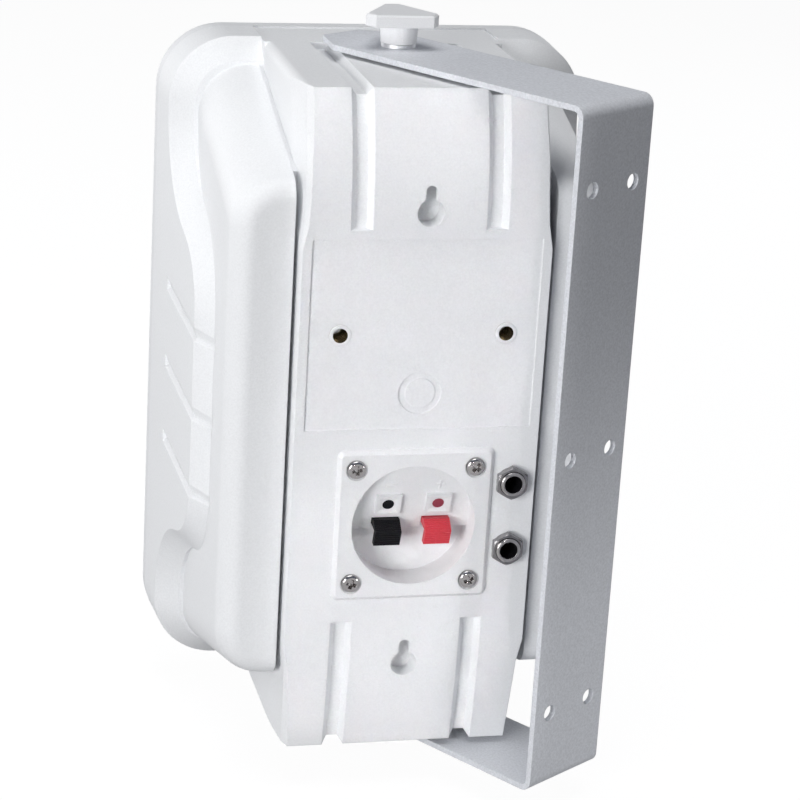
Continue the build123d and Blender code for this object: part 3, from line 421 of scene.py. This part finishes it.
def modelScrew(headRadius, headHeight, length):
    bpy.ops.mesh.primitive_cylinder_add(vertices=screwSizes["sides"], radius=headRadius, depth=headHeight,
                                        location=(0, 0, headHeight / 2))
    screw = settle(bpy.context.object)
    choose(screw, "EDGE", lambda first, second: min(first.z, second.z) > headHeight - tiny)
    bevelChosen(screw, headHeight * screwSizes["roundShare"], screwSizes["roundSteps"])
    choose(screw, "FACE", lambda centre, normal: normal.z < -facing)
    bpy.ops.mesh.inset(thickness=headRadius - screwSizes["shank"])
    bpy.ops.mesh.extrude_region_move(TRANSFORM_OT_translate={"value": (0, 0, -length)})
    bpy.ops.object.mode_set(mode="OBJECT")
    reach = 2 * headRadius * screwSizes["slotReach"]
    width, taper = headRadius * screwSizes["slotWidth"], screwSizes["slotTaper"]
    depth = headHeight * screwSizes["slotDepth"]
    for quarter in (0, 90):
        bit = makeBlock((reach, width, 2 * depth), (0, 0, headHeight))
        bit.rotation_euler.z = math.radians(quarter)
        settle(bit)
        choose(bit, "FACE", lambda centre, normal: normal.z < -facing)
        bpy.ops.transform.resize(value=(taper, taper, 1))
        bpy.ops.object.mode_set(mode="OBJECT")
        cut(screw, bit)
    return smooth(screw, screwSizes["smoothAngle"])


def makeScrews(node, name, headHeight, way):
    boxes = looseBoxes(node)
    low, high = boxes[0]
    first = modelScrew((high.x - low.x) / 2, headHeight, high.y - low.y - headHeight)
    seats = [high.y - headHeight if way == rearward else low.y + headHeight for low, high in boxes]
    screws = spread(first, boxes, seats, screwSizes["turns"], way)
    paint(screws, slotOf[node])
    standFor(screws, name, node)


makeScrews("terminal_screws", "terminalScrews", screwSizes["rearHead"], rearward)
makeScrews("baffle_screws", "baffleScrews", screwSizes["frontHead"], forward)
makeScrews("woofer_screws", "wooferScrews", screwSizes["frontHead"], forward)
makeScrews("tweeter_screws", "tweeterScrews", screwSizes["frontHead"], forward)
print("screws modelled")


# Threaded inserts in the label recess: a white collar round a brass thread, the brass darkened partly for its
# own tone and partly as painted shade deep in the bore

insertSizes = {"chamfer": 0.3 * mm, "collarBore": 3.1 * mm, "mouth": 0.35 * mm, "pitch": 1.0 * mm,
               "thread": 0.3 * mm, "sides": 48, "smoothAngle": 25}


def modelInsert(radius, length):
    bore, mouth, pitch = (insertSizes[key] for key in ("collarBore", "mouth", "pitch"))
    crest = bore - insertSizes["thread"]
    rings = [(radius, -length), (radius, -insertSizes["chamfer"]), (radius - insertSizes["chamfer"], 0),
             (bore, 0), (bore, -mouth)]
    depth = mouth
    while depth + pitch < length:
        rings.append((crest, -depth - pitch / 2))
        depth += pitch
        rings.append((bore, -depth))
    rings += [(crest, -length), (radius, -length)]
    insert = mend(turn(rings, insertSizes["sides"]))
    paint(insert, "insert_brass", "cabinet_plastic")
    for face in insert.data.polygons:
        rim = math.hypot(face.center.x, face.center.y) > bore - tiny
        face.material_index = 1 if rim and face.center.z > -mouth else 0
    return smooth(insert, insertSizes["smoothAngle"])


def makeInserts():
    boxes = looseBoxes("rear_inserts")
    low, high = boxes[0]
    first = modelInsert((high.x - low.x) / 2, high.y - low.y)
    standFor(spread(first, boxes, [high.y for low, high in boxes]), "rearInserts", "rear_inserts")


makeInserts()
print("inserts modelled")


# Jack sockets: threaded bushing with a rolled mouth, and a square body behind the wall
# The lip's points are shares of its width, in from the crest or out from the bore, and of its height down

jackSizes = {"sides": 56, "pitch": 0.75 * mm, "thread": 0.28 * mm, "bore": 3.65 * mm, "bushing": 5.4 * mm,
             "threadStart": 0.4 * mm, "bodyDepth": 20 * mm, "boreDepth": 24 * mm, "bodyEdge": 0.4 * mm,
             "edgeSteps": 2, "steelFrom": 1.02, "smoothAngle": 40, "lip": 0.8 * mm, "lipWidth": 0.8 * mm,
             "lipOutside": ((0.1, 1.0), (0.1, 0.45), (0.35, 0.12), (0.7, 0.0)),
             "lipInside": ((0.3, 0.1), (0.0, 0.6))}


def modelJack(wide, tall, rear, top):
    block = rear + jackSizes["bodyDepth"]         # where the square body ends
    crest, root = jackSizes["bushing"], jackSizes["bushing"] - jackSizes["thread"]
    bore, pitch, lip, width = (jackSizes[key] for key in ("bore", "pitch", "lip", "lipWidth"))
    base, height = top - jackSizes["boreDepth"], jackSizes["threadStart"]
    rings = [(crest, base), (crest, height)]
    while height + pitch < top - lip:
        rings.append((root, height + pitch / 2))
        height += pitch
        rings.append((crest, height))
    rings += [(crest - width * inward, top - lip * down) for inward, down in jackSizes["lipOutside"]]
    rings += [(bore + width * outward, top - lip * down) for outward, down in jackSizes["lipInside"]]
    rings += [(bore, base), (crest, base)]
    bushing = faceAlongY(mend(turn(rings, jackSizes["sides"])), Vector((0, 0, 0)))
    body = makeBlock((wide, block - rear, tall), (0, (rear + block) / 2, 0))
    choose(body, "EDGE", lambda first, second: True)
    bevelChosen(body, jackSizes["bodyEdge"], jackSizes["edgeSteps"])
    jack = smooth(joined([bushing, body]), jackSizes["smoothAngle"])
    paint(jack, "jack_plastic", "screw_steel")
    for face in jack.data.polygons:
        out = math.hypot(face.center.x, face.center.z)
        steel = face.center.y > block + tiny and out > bore * jackSizes["steelFrom"]
        face.material_index = 1 if steel else 0
    return jack


def makeJacks():
    low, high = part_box("upper_jack")
    first = modelJack(high.x - low.x, high.z - low.z, low.y, high.y)
    for node, name in (("upper_jack", "upperJack"), ("lower_jack", "lowerJack")):
        low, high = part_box(node)
        jack = duplicate(first)
        jack.location = ((low.x + high.x) / 2, 0, (low.z + high.z) / 2)
        standFor(settle(jack), name, node)
    bpy.data.objects.remove(first)


# Jack nuts: a six-sided bar that a chamfered round shaper trims
# The two pass each other at both ends, and half a side's turn keeps the shaper's edges off the corners

nutSizes = {"chamfer": 0.9 * mm, "pass": 1.0 * mm, "shaperSides": 72, "shaperPlay": 1.005, "play": 0.1 * mm,
            "boreLength": 3, "smoothAngle": 20}


def modelNut(flats, thick):
    corner, tall = flats / math.sqrt(3), thick + nutSizes["pass"]
    bpy.ops.mesh.primitive_cylinder_add(vertices=6, radius=corner, depth=tall, location=(0, 0, tall / 2))
    nut = settle(bpy.context.object)
    sides = nutSizes["shaperSides"]
    bpy.ops.mesh.primitive_cylinder_add(vertices=sides, radius=corner * nutSizes["shaperPlay"], depth=tall,
                                        location=(0, 0, thick - tall / 2),
                                        rotation=(0, 0, math.pi / sides))
    shaper = settle(bpy.context.object)
    choose(shaper, "EDGE", lambda first, second: min(first.z, second.z) > thick - tiny)
    cut(nut, bevelChosen(shaper, nutSizes["chamfer"], 1), "INTERSECT")
    bpy.ops.mesh.primitive_cylinder_add(vertices=jackSizes["sides"], depth=thick * nutSizes["boreLength"],
                                        radius=jackSizes["bushing"] + nutSizes["play"])
    cut(nut, bpy.context.object)
    return smooth(nut, nutSizes["smoothAngle"])


def makeNuts():
    boxes = looseBoxes("jack_nuts")
    low, high = boxes[0]
    first = modelNut(high.x - low.x, high.y - low.y)
    nuts = spread(first, boxes, [low.y for low, high in boxes])
    paint(nuts, "nut_plate")
    standFor(nuts, "jackNuts", "jack_nuts")


makeJacks()
makeNuts()
print("jacks modelled")


# Terminal levers: the bent tab with fine ribs across it, in two runs that meet at its knee

leverSizes = {"ribs": (6, 6), "ribRadius": 0.3 * mm, "ribSides": 12, "ribRound": 0.5, "ribSteps": 2,
              "sideInset": 0.3 * mm, "smoothAngle": 30,
              "start": (-4.4 * mm, -83.1 * mm), "knee": (0.2 * mm, -87.1 * mm), "tip": (-2.4 * mm, -93.9 * mm)}


def modelRib(width):
    bpy.ops.mesh.primitive_cylinder_add(vertices=leverSizes["ribSides"], radius=leverSizes["ribRadius"],
                                        depth=width, rotation=(0, math.radians(90), 0))
    rib = settle(bpy.context.object)
    choose(rib, "FACE", lambda centre, normal: abs(normal.x) > facing)
    return bevelChosen(rib, leverSizes["ribRadius"] * leverSizes["ribRound"], leverSizes["ribSteps"])


def makeLever(node, name):
    low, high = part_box(node)
    tab = mend(duplicate(nodes[node]))
    tab.parent = None
    del tab["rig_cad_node"]
    pieces = [tab]
    first = modelRib(high.x - low.x - 2 * leverSizes["sideInset"])
    corners = [Vector(((low.x + high.x) / 2, *leverSizes[key])) for key in ("start", "knee", "tip")]
    for start, end, count in zip(corners, corners[1:], leverSizes["ribs"]):
        for k in range(count):
            rib = duplicate(first)
            rib.location = start + (end - start) * ((k + 0.5) / count)
            pieces.append(settle(rib))
    bpy.data.objects.remove(first)
    lever = smooth(joined(pieces), leverSizes["smoothAngle"])
    paint(lever, slotOf[node])
    standFor(lever, name, node)


makeLever("black_lever", "blackLever")
makeLever("red_lever", "redLever")
print("levers modelled")


# Woofer surround: the glued lip goes with the cone, the half roll stays with the basket

surroundSizes = {"lip": 3.2 * mm, "sheet": 0.8 * mm, "coneEdge": 49.0 * mm, "play": 0.08 * mm,
                 "arcSteps": 14, "sides": 96}


def rollArc(inner, outer, foot, apex):
    # Points of an arc over two feet at the same height
    half, rise = (outer - inner) / 2, apex - foot
    radius = (half ** 2 + rise ** 2) / (2 * rise)
    reach = math.asin(half / abs(radius))
    if abs(rise) > half:
        reach = math.pi - reach
    points = []
    for step in range(surroundSizes["arcSteps"] + 1):
        angle = reach * (2 * step / surroundSizes["arcSteps"] - 1)
        height = apex - radius * (1 - math.cos(angle))
        points.append((inner + half + abs(radius) * math.sin(angle), height))
    return points


def makeSurround():
    low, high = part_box("woofer_surround")
    rear, front, sheet = high.y, low.y, surroundSizes["sheet"]
    edge, outside = surroundSizes["coneEdge"], (high.x - low.x) / 2
    mouth = outside - surroundSizes["lip"]
    inside = edge - surroundSizes["lip"] / 2
    foot = edge + surroundSizes["play"]
    lipRings = [(inside, rear), (inside, rear - sheet), (edge, rear - sheet), (edge, rear), (inside, rear)]
    rollRings = [(foot, rear)] + rollArc(foot, mouth, rear - sheet, front)
    rollRings += [(outside, rear - sheet), (outside, rear)]
    rollRings += rollArc(foot + sheet, mouth - sheet, rear, front + sheet)[::-1] + [(foot, rear)]
    place = Vector(((low.x + high.x) / 2, 0, (low.z + high.z) / 2))
    sides = surroundSizes["sides"]
    lip, roll = (faceAlongY(mend(turn(rings, sides)), place) for rings in (lipRings, rollRings))
    for piece in (lip, roll):
        paint(smooth(piece), "surround_rubber")
    standFor(roll, "surroundRoll", "woofer_surround")
    lip.name = lip.data.name = "surroundLip"
    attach(lip, bodyOf["woofer_cone"])


makeSurround()
print("surround modelled")


# Grille: a crowned pan with a plain border, its front filled by a fine honeycomb sheet

grilleSizes = {"crown": 8.0 * mm, "sheet": 1.0 * mm, "corner": 22.6 * mm, "cornerSteps": 10, "arcSides": 800,
               "border": 5.0 * mm, "pitch": 5.0 * mm, "web": 1.1 * mm, "lap": 0.15 * mm, "cellReach": 0.4,
               "weld": 0.05 * mm, "panPass": 2.0 * mm, "windowRear": -1.0 * mm, "windowPass": 5.0 * mm,
               "smoothAngle": 20}


def roundedSlab(halfWide, halfTall, corner, rear, front):
    slab = makeBlock((2 * halfWide, 2 * halfTall, front - rear), (0, 0, (rear + front) / 2))
    choose(slab, "EDGE", lambda first, second: abs(first.z - second.z) > (front - rear) / 2)
    return bevelChosen(slab, corner, grilleSizes["cornerSteps"])


def crownRadius(halfWide):
    return (halfWide ** 2 + grilleSizes["crown"] ** 2) / (2 * grilleSizes["crown"])


def crownedPan(halfWide, halfTall, rise, inset):
    # The pan's outside, or its inside when inset by the sheet, with the open rear at height 0
    radius = crownRadius(halfWide)
    slab = roundedSlab(halfWide - inset, halfTall - inset, grilleSizes["corner"] - inset,
                       -inset * 2, rise + grilleSizes["panPass"])
    bpy.ops.mesh.primitive_cylinder_add(vertices=grilleSizes["arcSides"], radius=radius - inset,
                                        depth=3 * halfTall, location=(0, 0, rise - radius),
                                        rotation=(math.radians(90), 0, 0))
    cut(slab, settle(bpy.context.object), "INTERSECT")
    return slab


def honeycomb(halfWide, halfTall, corner):
    pitch = grilleSizes["pitch"]
    side = pitch / math.sqrt(3)
    row = 1.5 * side                              # from one row of cells to the next
    across, down = int(2 * halfWide / pitch) + 2, int(halfTall / row) + 2
    bpy.ops.mesh.primitive_circle_add(vertices=6, radius=side, fill_type="NGON")
    cell = settle(bpy.context.object)
    mate = duplicate(cell)
    mate.location = (pitch / 2, row, 0)
    sheet = joined([cell, settle(mate)])
    for count, step in ((across, (pitch, 0, 0)), (down, (0, 2 * row, 0))):
        rows = sheet.modifiers.new("rows", "ARRAY")
        rows.count, rows.use_relative_offset, rows.use_constant_offset = count, False, True
        rows.constant_offset_displace = step
        pick(sheet)
        bpy.ops.object.modifier_apply(modifier=rows.name)
    sheet.location = (-(across - 0.5) * pitch / 2, -(down - 0.5) * row, 0)
    mend(settle(sheet), grilleSizes["weld"])

    def outside(centre, normal):
        x, y = abs(centre.x) - halfWide + corner, abs(centre.y) - halfTall + corner
        return math.hypot(max(x, 0), max(y, 0)) > corner + pitch * grilleSizes["cellReach"]

    choose(sheet, "FACE", outside)
    bpy.ops.mesh.delete(type="FACE")
    bpy.ops.mesh.select_all(action="SELECT")
    bpy.ops.mesh.inset(thickness=grilleSizes["web"] / 2, use_individual=True)
    bpy.ops.mesh.delete(type="FACE")
    bpy.ops.object.mode_set(mode="OBJECT")
    thick = sheet.modifiers.new("thick", "SOLIDIFY")
    thick.thickness, thick.offset = grilleSizes["sheet"] - 2 * grilleSizes["lap"], 0
    bpy.ops.object.modifier_apply(modifier=thick.name)
    return sheet


def makeGrille():
    low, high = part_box("grille")
    halfWide, halfTall = (high.x - low.x) / 2, (high.z - low.z) / 2
    rise, sheet, edge = high.y - low.y, grilleSizes["sheet"], grilleSizes["border"]
    window = (halfWide - edge, halfTall - edge, grilleSizes["corner"] - edge)
    pan = crownedPan(halfWide, halfTall, rise, 0)
    cut(pan, crownedPan(halfWide, halfTall, rise, sheet))
    cut(pan, roundedSlab(*window, grilleSizes["windowRear"], rise + grilleSizes["windowPass"]))
    centre = (low + high) / 2
    faceAlongY(pan, Vector((centre.x, high.y, centre.z)), way=forward)
    mesh = honeycomb(*window)
    mesh.rotation_euler.x = math.radians(90)
    reach = max(co[0] for co in settle(mesh).bound_box)
    bend = mesh.modifiers.new("bend", "SIMPLE_DEFORM")
    bend.deform_method, bend.deform_axis = "BEND", "Z"
    bend.angle = 2 * reach / (crownRadius(halfWide) - sheet / 2)
    bpy.ops.object.modifier_apply(modifier=bend.name)
    mesh.location = (centre.x, low.y + sheet / 2, centre.z)
    grille = smooth(joined([pan, settle(mesh)]), grilleSizes["smoothAngle"])
    paint(grille, "grille_paint")
    standFor(grille, "grilleSheet", "grille")
    print("grille faces:", sum(len(f.vertices) - 2 for f in grille.data.polygons))


makeGrille()


# Terminal cup: its slanted face, on which the signs, trays and stops sit

cupSizes = {"centre": -83.4 * mm, "rimY": 2.2 * mm, "radius": 26.5 * mm, "stepY": -9.0 * mm, "drop": 5.0 * mm}
cupSlope = (cupSizes["rimY"] - cupSizes["stepY"]) / (cupSizes["radius"] + cupSizes["drop"])


def onSlope(x, rise, lift=0.0):
    # A frame on the slanted face, its Z pointing out of the face
    lean = math.atan(cupSlope)
    out = Vector((0, math.cos(lean), -math.sin(lean)))
    up = Vector((0, math.sin(lean), math.cos(lean)))
    depth = cupSizes["rimY"] - (cupSizes["radius"] - rise) * cupSlope
    foot = Vector((x, depth, cupSizes["centre"] + rise))
    turned = Matrix((up.cross(out), up, out)).transposed().to_4x4()
    return Matrix.Translation(foot + out * lift) @ turned


# Raised plus and minus signs

signSizes = {"rise": 17.2 * mm, "minusX": 9.2 * mm, "plusX": -11.4 * mm, "length": 4.4 * mm,
             "width": 0.95 * mm, "height": 0.4 * mm, "roundShare": 0.5, "roundSteps": 3, "smoothAngle": 30}


def signBar(place, length, width):
    height = signSizes["height"]
    bar = makeBlock((length, width, height * 2))
    choose(bar, "FACE", lambda centre, normal: normal.z > facing)
    bevelChosen(bar, height * signSizes["roundShare"], signSizes["roundSteps"])
    bar.matrix_world = place
    return settle(bar)


def makeSigns():
    size, width = signSizes["length"], signSizes["width"]
    minus = onSlope(signSizes["minusX"], signSizes["rise"])
    plus = onSlope(signSizes["plusX"], signSizes["rise"])
    bars = [signBar(minus, size, width), signBar(plus, size, width), signBar(plus, width, size)]
    signs = smooth(joined(bars), signSizes["smoothAngle"])
    signs.name = signs.data.name = "polaritySigns"
    paint(signs, "terminal_plastic")
    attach(signs, "cabinet")


# Sunk trays on the frames of the wire entries

traySizes = {"x": (10.0 * mm, -11.6 * mm), "cupRise": 8.0 * mm, "frame": 1.0 * mm, "bore": 2.55 * mm,
             "boreSides": 40, "boreLength": 4, "width": 11.0 * mm, "height": 9.8 * mm, "rise": 0.8 * mm,
             "rim": 1.0 * mm, "fall": 0.7 * mm, "floor": 0.7, "smoothAngle": 30}


def modelTray():
    rise, floor = traySizes["rise"], traySizes["floor"]
    tray = makeBlock((traySizes["width"], traySizes["height"], rise), (0, 0, rise / 2))
    choose(tray, "FACE", lambda centre, normal: normal.z > facing)
    bpy.ops.mesh.inset(thickness=traySizes["rim"])
    bpy.ops.mesh.extrude_region_move(TRANSFORM_OT_translate={"value": (0, 0, -traySizes["fall"])})
    bpy.ops.transform.resize(value=(floor, floor, 1))
    bpy.ops.object.mode_set(mode="OBJECT")
    bpy.ops.mesh.primitive_cylinder_add(vertices=traySizes["boreSides"], radius=traySizes["bore"],
                                        depth=rise * traySizes["boreLength"])
    cut(tray, bpy.context.object)
    return smooth(tray, traySizes["smoothAngle"])


def makeTrays():
    trays = [modelTray()]
    trays.append(duplicate(trays[0]))
    for tray, x in zip(trays, traySizes["x"]):
        tray.matrix_world = onSlope(x, traySizes["cupRise"], traySizes["frame"])
        settle(tray)
    frames = joined(trays)
    frames.name = frames.data.name = "entryTrays"
    paint(frames, "terminal_plastic")
    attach(frames, "cabinet")


# Coloured stops seen in the wire entries, slightly dished, with a fine bevel at the rim; the red stop takes a
# darker copy of the red plastic, painted shade of the deep entry

stopSizes = {"lift": 0.1 * mm, "length": 3.0 * mm, "wall": 0.98, "rim": 0.9, "bevel": 0.02 * mm,
             "middle": 0.3 * mm, "dish": 0.08 * mm, "sides": 32}


def modelStop():
    wall, rim = (traySizes["bore"] * stopSizes[key] for key in ("wall", "rim"))
    rings = [(wall, -stopSizes["length"]), (wall, -stopSizes["bevel"]), (rim, 0),
             (stopSizes["middle"], -stopSizes["dish"])]
    stop = turn(rings, stopSizes["sides"])
    bpy.ops.object.mode_set(mode="EDIT")
    bpy.ops.mesh.select_all(action="SELECT")
    bpy.ops.mesh.fill_holes(sides=0)
    bpy.ops.object.mode_set(mode="OBJECT")
    return smooth(mend(stop))


def makeStops():
    stops = [modelStop()]
    stops.append(duplicate(stops[0]))
    # the red stop is painted with the darkened red copy, painted shade of the entry, not with its own red
    # plastic
    details = (("blackWireStop", "black_plastic", "black_plastic"), ("redWireStop", "red_plastic", "entryRed"))
    for stop, x, (name, slot, look) in zip(stops, traySizes["x"], details):
        stop.matrix_world = onSlope(x, traySizes["cupRise"], traySizes["frame"] + stopSizes["lift"])
        settle(stop)
        stop.name = stop.data.name = name
        paint(stop, look)
        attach(stop, "cabinet")


makeSigns()
makeTrays()
makeStops()
print("terminal cup dressed")


# Camera at the photograph's place

shot = {"frame": 800, "focal": 2655.74, "azimuth": 14.0, "elevation": 18.98, "roll": 3.41,
        "distance": 1088.98 * mm, "originAt": (423.9, 334.73), "sensor": 36.0, "clipStart": 0.01}


def makeCamera():
    azimuth, elevation, roll = (math.radians(shot[key]) for key in ("azimuth", "elevation", "roll"))
    back = Vector((math.sin(azimuth) * math.cos(elevation), math.cos(azimuth) * math.cos(elevation),
                   math.sin(elevation)))
    right = Vector((-math.cos(azimuth), math.sin(azimuth), 0))
    up = back.cross(right)
    across = right * math.cos(roll) + up * math.sin(roll)
    upward = up * math.cos(roll) - right * math.sin(roll)
    pixel = shot["distance"] / shot["focal"]
    aside, below = ((value - shot["frame"] / 2) * pixel for value in shot["originAt"])
    place = back * shot["distance"] - across * aside + upward * below
    bpy.ops.object.camera_add()
    camera = bpy.context.object
    turned = Matrix((across, upward, back)).transposed().to_4x4()
    camera.matrix_world = Matrix.Translation(place) @ turned
    camera.data.sensor_width = shot["sensor"]
    camera.data.lens = shot["focal"] * shot["sensor"] / shot["frame"]
    camera.data.clip_start = shot["clipStart"]
    bpy.context.scene.camera = camera


makeCamera()
print("camera placed")


# Floor, lamps and surroundings

studio = {"floorSize": 30.0, "floorGap": 0.2 * mm, "floorColour": (0.27, 0.27, 0.28), "floorGlow": 1.36,
          "shadowShare": 0.3, "floorMirror": 0.25, "ambient": (0.74, 0.82, 1.0), "ambientStrength": 0.05,
          "skyMirror": 0.15, "white": (1.0, 1.0, 1.0), "aim": (0.0, -0.05, -0.04), "spotGain": 4}
lamps = [
    {"name": "keyLamp", "bearing": 46, "height": 9, "distance": 1.7, "size": 0.8, "level": 0.76},
    {"name": "sideLamp", "bearing": -48, "height": 6, "distance": 1.6, "size": 0.8, "level": 0.36},
    {"name": "fillLamp", "bearing": 215, "height": 10, "distance": 1.6, "size": 0.8, "level": 0.24},
    {"name": "topLamp", "bearing": 60, "height": 82, "distance": 1.5, "size": 1.0, "level": 0.55},
    {"name": "lowLamp", "kind": "SPOT", "bearing": 122, "height": 3, "distance": 0.8, "size": 0.1,
     "level": 0.4, "aim": (-0.09, 0.0, -0.22), "cone": 32},
    {"name": "rearLamp", "bearing": 92, "height": 4, "distance": 0.9, "size": (0.1, 0.3), "level": 0.17,
     "aim": (0.004, 0.0, -0.037), "grid": 2.0},
]


def makeFloor():
    low = cadBox[0].z - studio["floorGap"]        # not in one plane with the lower knob's face
    bpy.ops.mesh.primitive_plane_add(size=studio["floorSize"], location=(0, 0, low))
    floor = settle(bpy.context.object)
    floor.name = "floor"
    finish = Finish(bpy.data.materials.new("paleFloor"))
    glow = finish.node("Emission", {}, {"Color": studio["white"], "Strength": studio["floorGlow"]})
    plain = finish.node("BsdfDiffuse", {}, {"Color": studio["floorColour"]})
    share = finish.seen() * (1 - studio["shadowShare"])
    share = share + finish.rays("Is Glossy Ray") * studio["floorMirror"]
    mixed = finish.node("MixShader", {}, {0: share, 1: plain, 2: glow})
    finish.feed(finish.tree.nodes["Material Output"].inputs["Surface"], mixed)
    finish.tree.nodes.remove(finish.shader)
    floor.data.materials.append(finish.material)


def makeLamps():
    for lamp in lamps:
        aim = Vector(lamp.get("aim", studio["aim"]))
        kind = lamp.get("kind", "AREA")
        bearing, height = math.radians(lamp["bearing"]), math.radians(lamp["height"])
        way = Vector((math.cos(bearing) * math.cos(height), math.sin(bearing) * math.cos(height),
                      math.sin(height)))
        bpy.ops.object.light_add(type=kind, location=aim + way * lamp["distance"])
        light = bpy.context.object
        light.name = lamp["name"]
        light.rotation_euler = way.to_track_quat("Z", "Y").to_euler()
        light.data.energy = lamp["level"] * math.pi ** 2 * lamp["distance"] ** 2
        if "grid" in lamp:                        # a narrow beam as wide as the lamp itself
            light.data.shape, light.data.spread = "RECTANGLE", math.radians(lamp["grid"])
            light.data.size, light.data.size_y = lamp["size"]
            light.data.energy = lamp["level"] * math.pi * lamp["size"][0] * lamp["size"][1]
        elif kind == "SPOT":                      # its power counts for the whole sphere
            light.data.energy *= studio["spotGain"]
            light.data.spot_size, light.data.spot_blend = math.radians(lamp["cone"]), 1.0
            light.data.shadow_soft_size = lamp["size"]
        else:
            light.data.size = lamp["size"]


def makeSurroundings():
    world = bpy.data.worlds.new("surroundings")
    bpy.context.scene.world = world
    finish = Finish(world)
    dim = studio["ambientStrength"] + finish.rays("Is Glossy Ray") * studio["skyMirror"]
    sky = finish.node("Background", {}, {"Color": studio["ambient"], "Strength": dim})
    white = finish.node("Background", {}, {"Color": studio["white"]})
    mixed = finish.node("MixShader", {}, {0: finish.seen(), 1: sky, 2: white})
    finish.feed(finish.tree.nodes["World Output"].inputs["Surface"], mixed)
    finish.tree.nodes.remove(finish.tree.nodes["Background"])


makeFloor()
makeLamps()
makeSurroundings()
bpy.context.scene.view_settings.view_transform = "Standard"
print("studio lit")
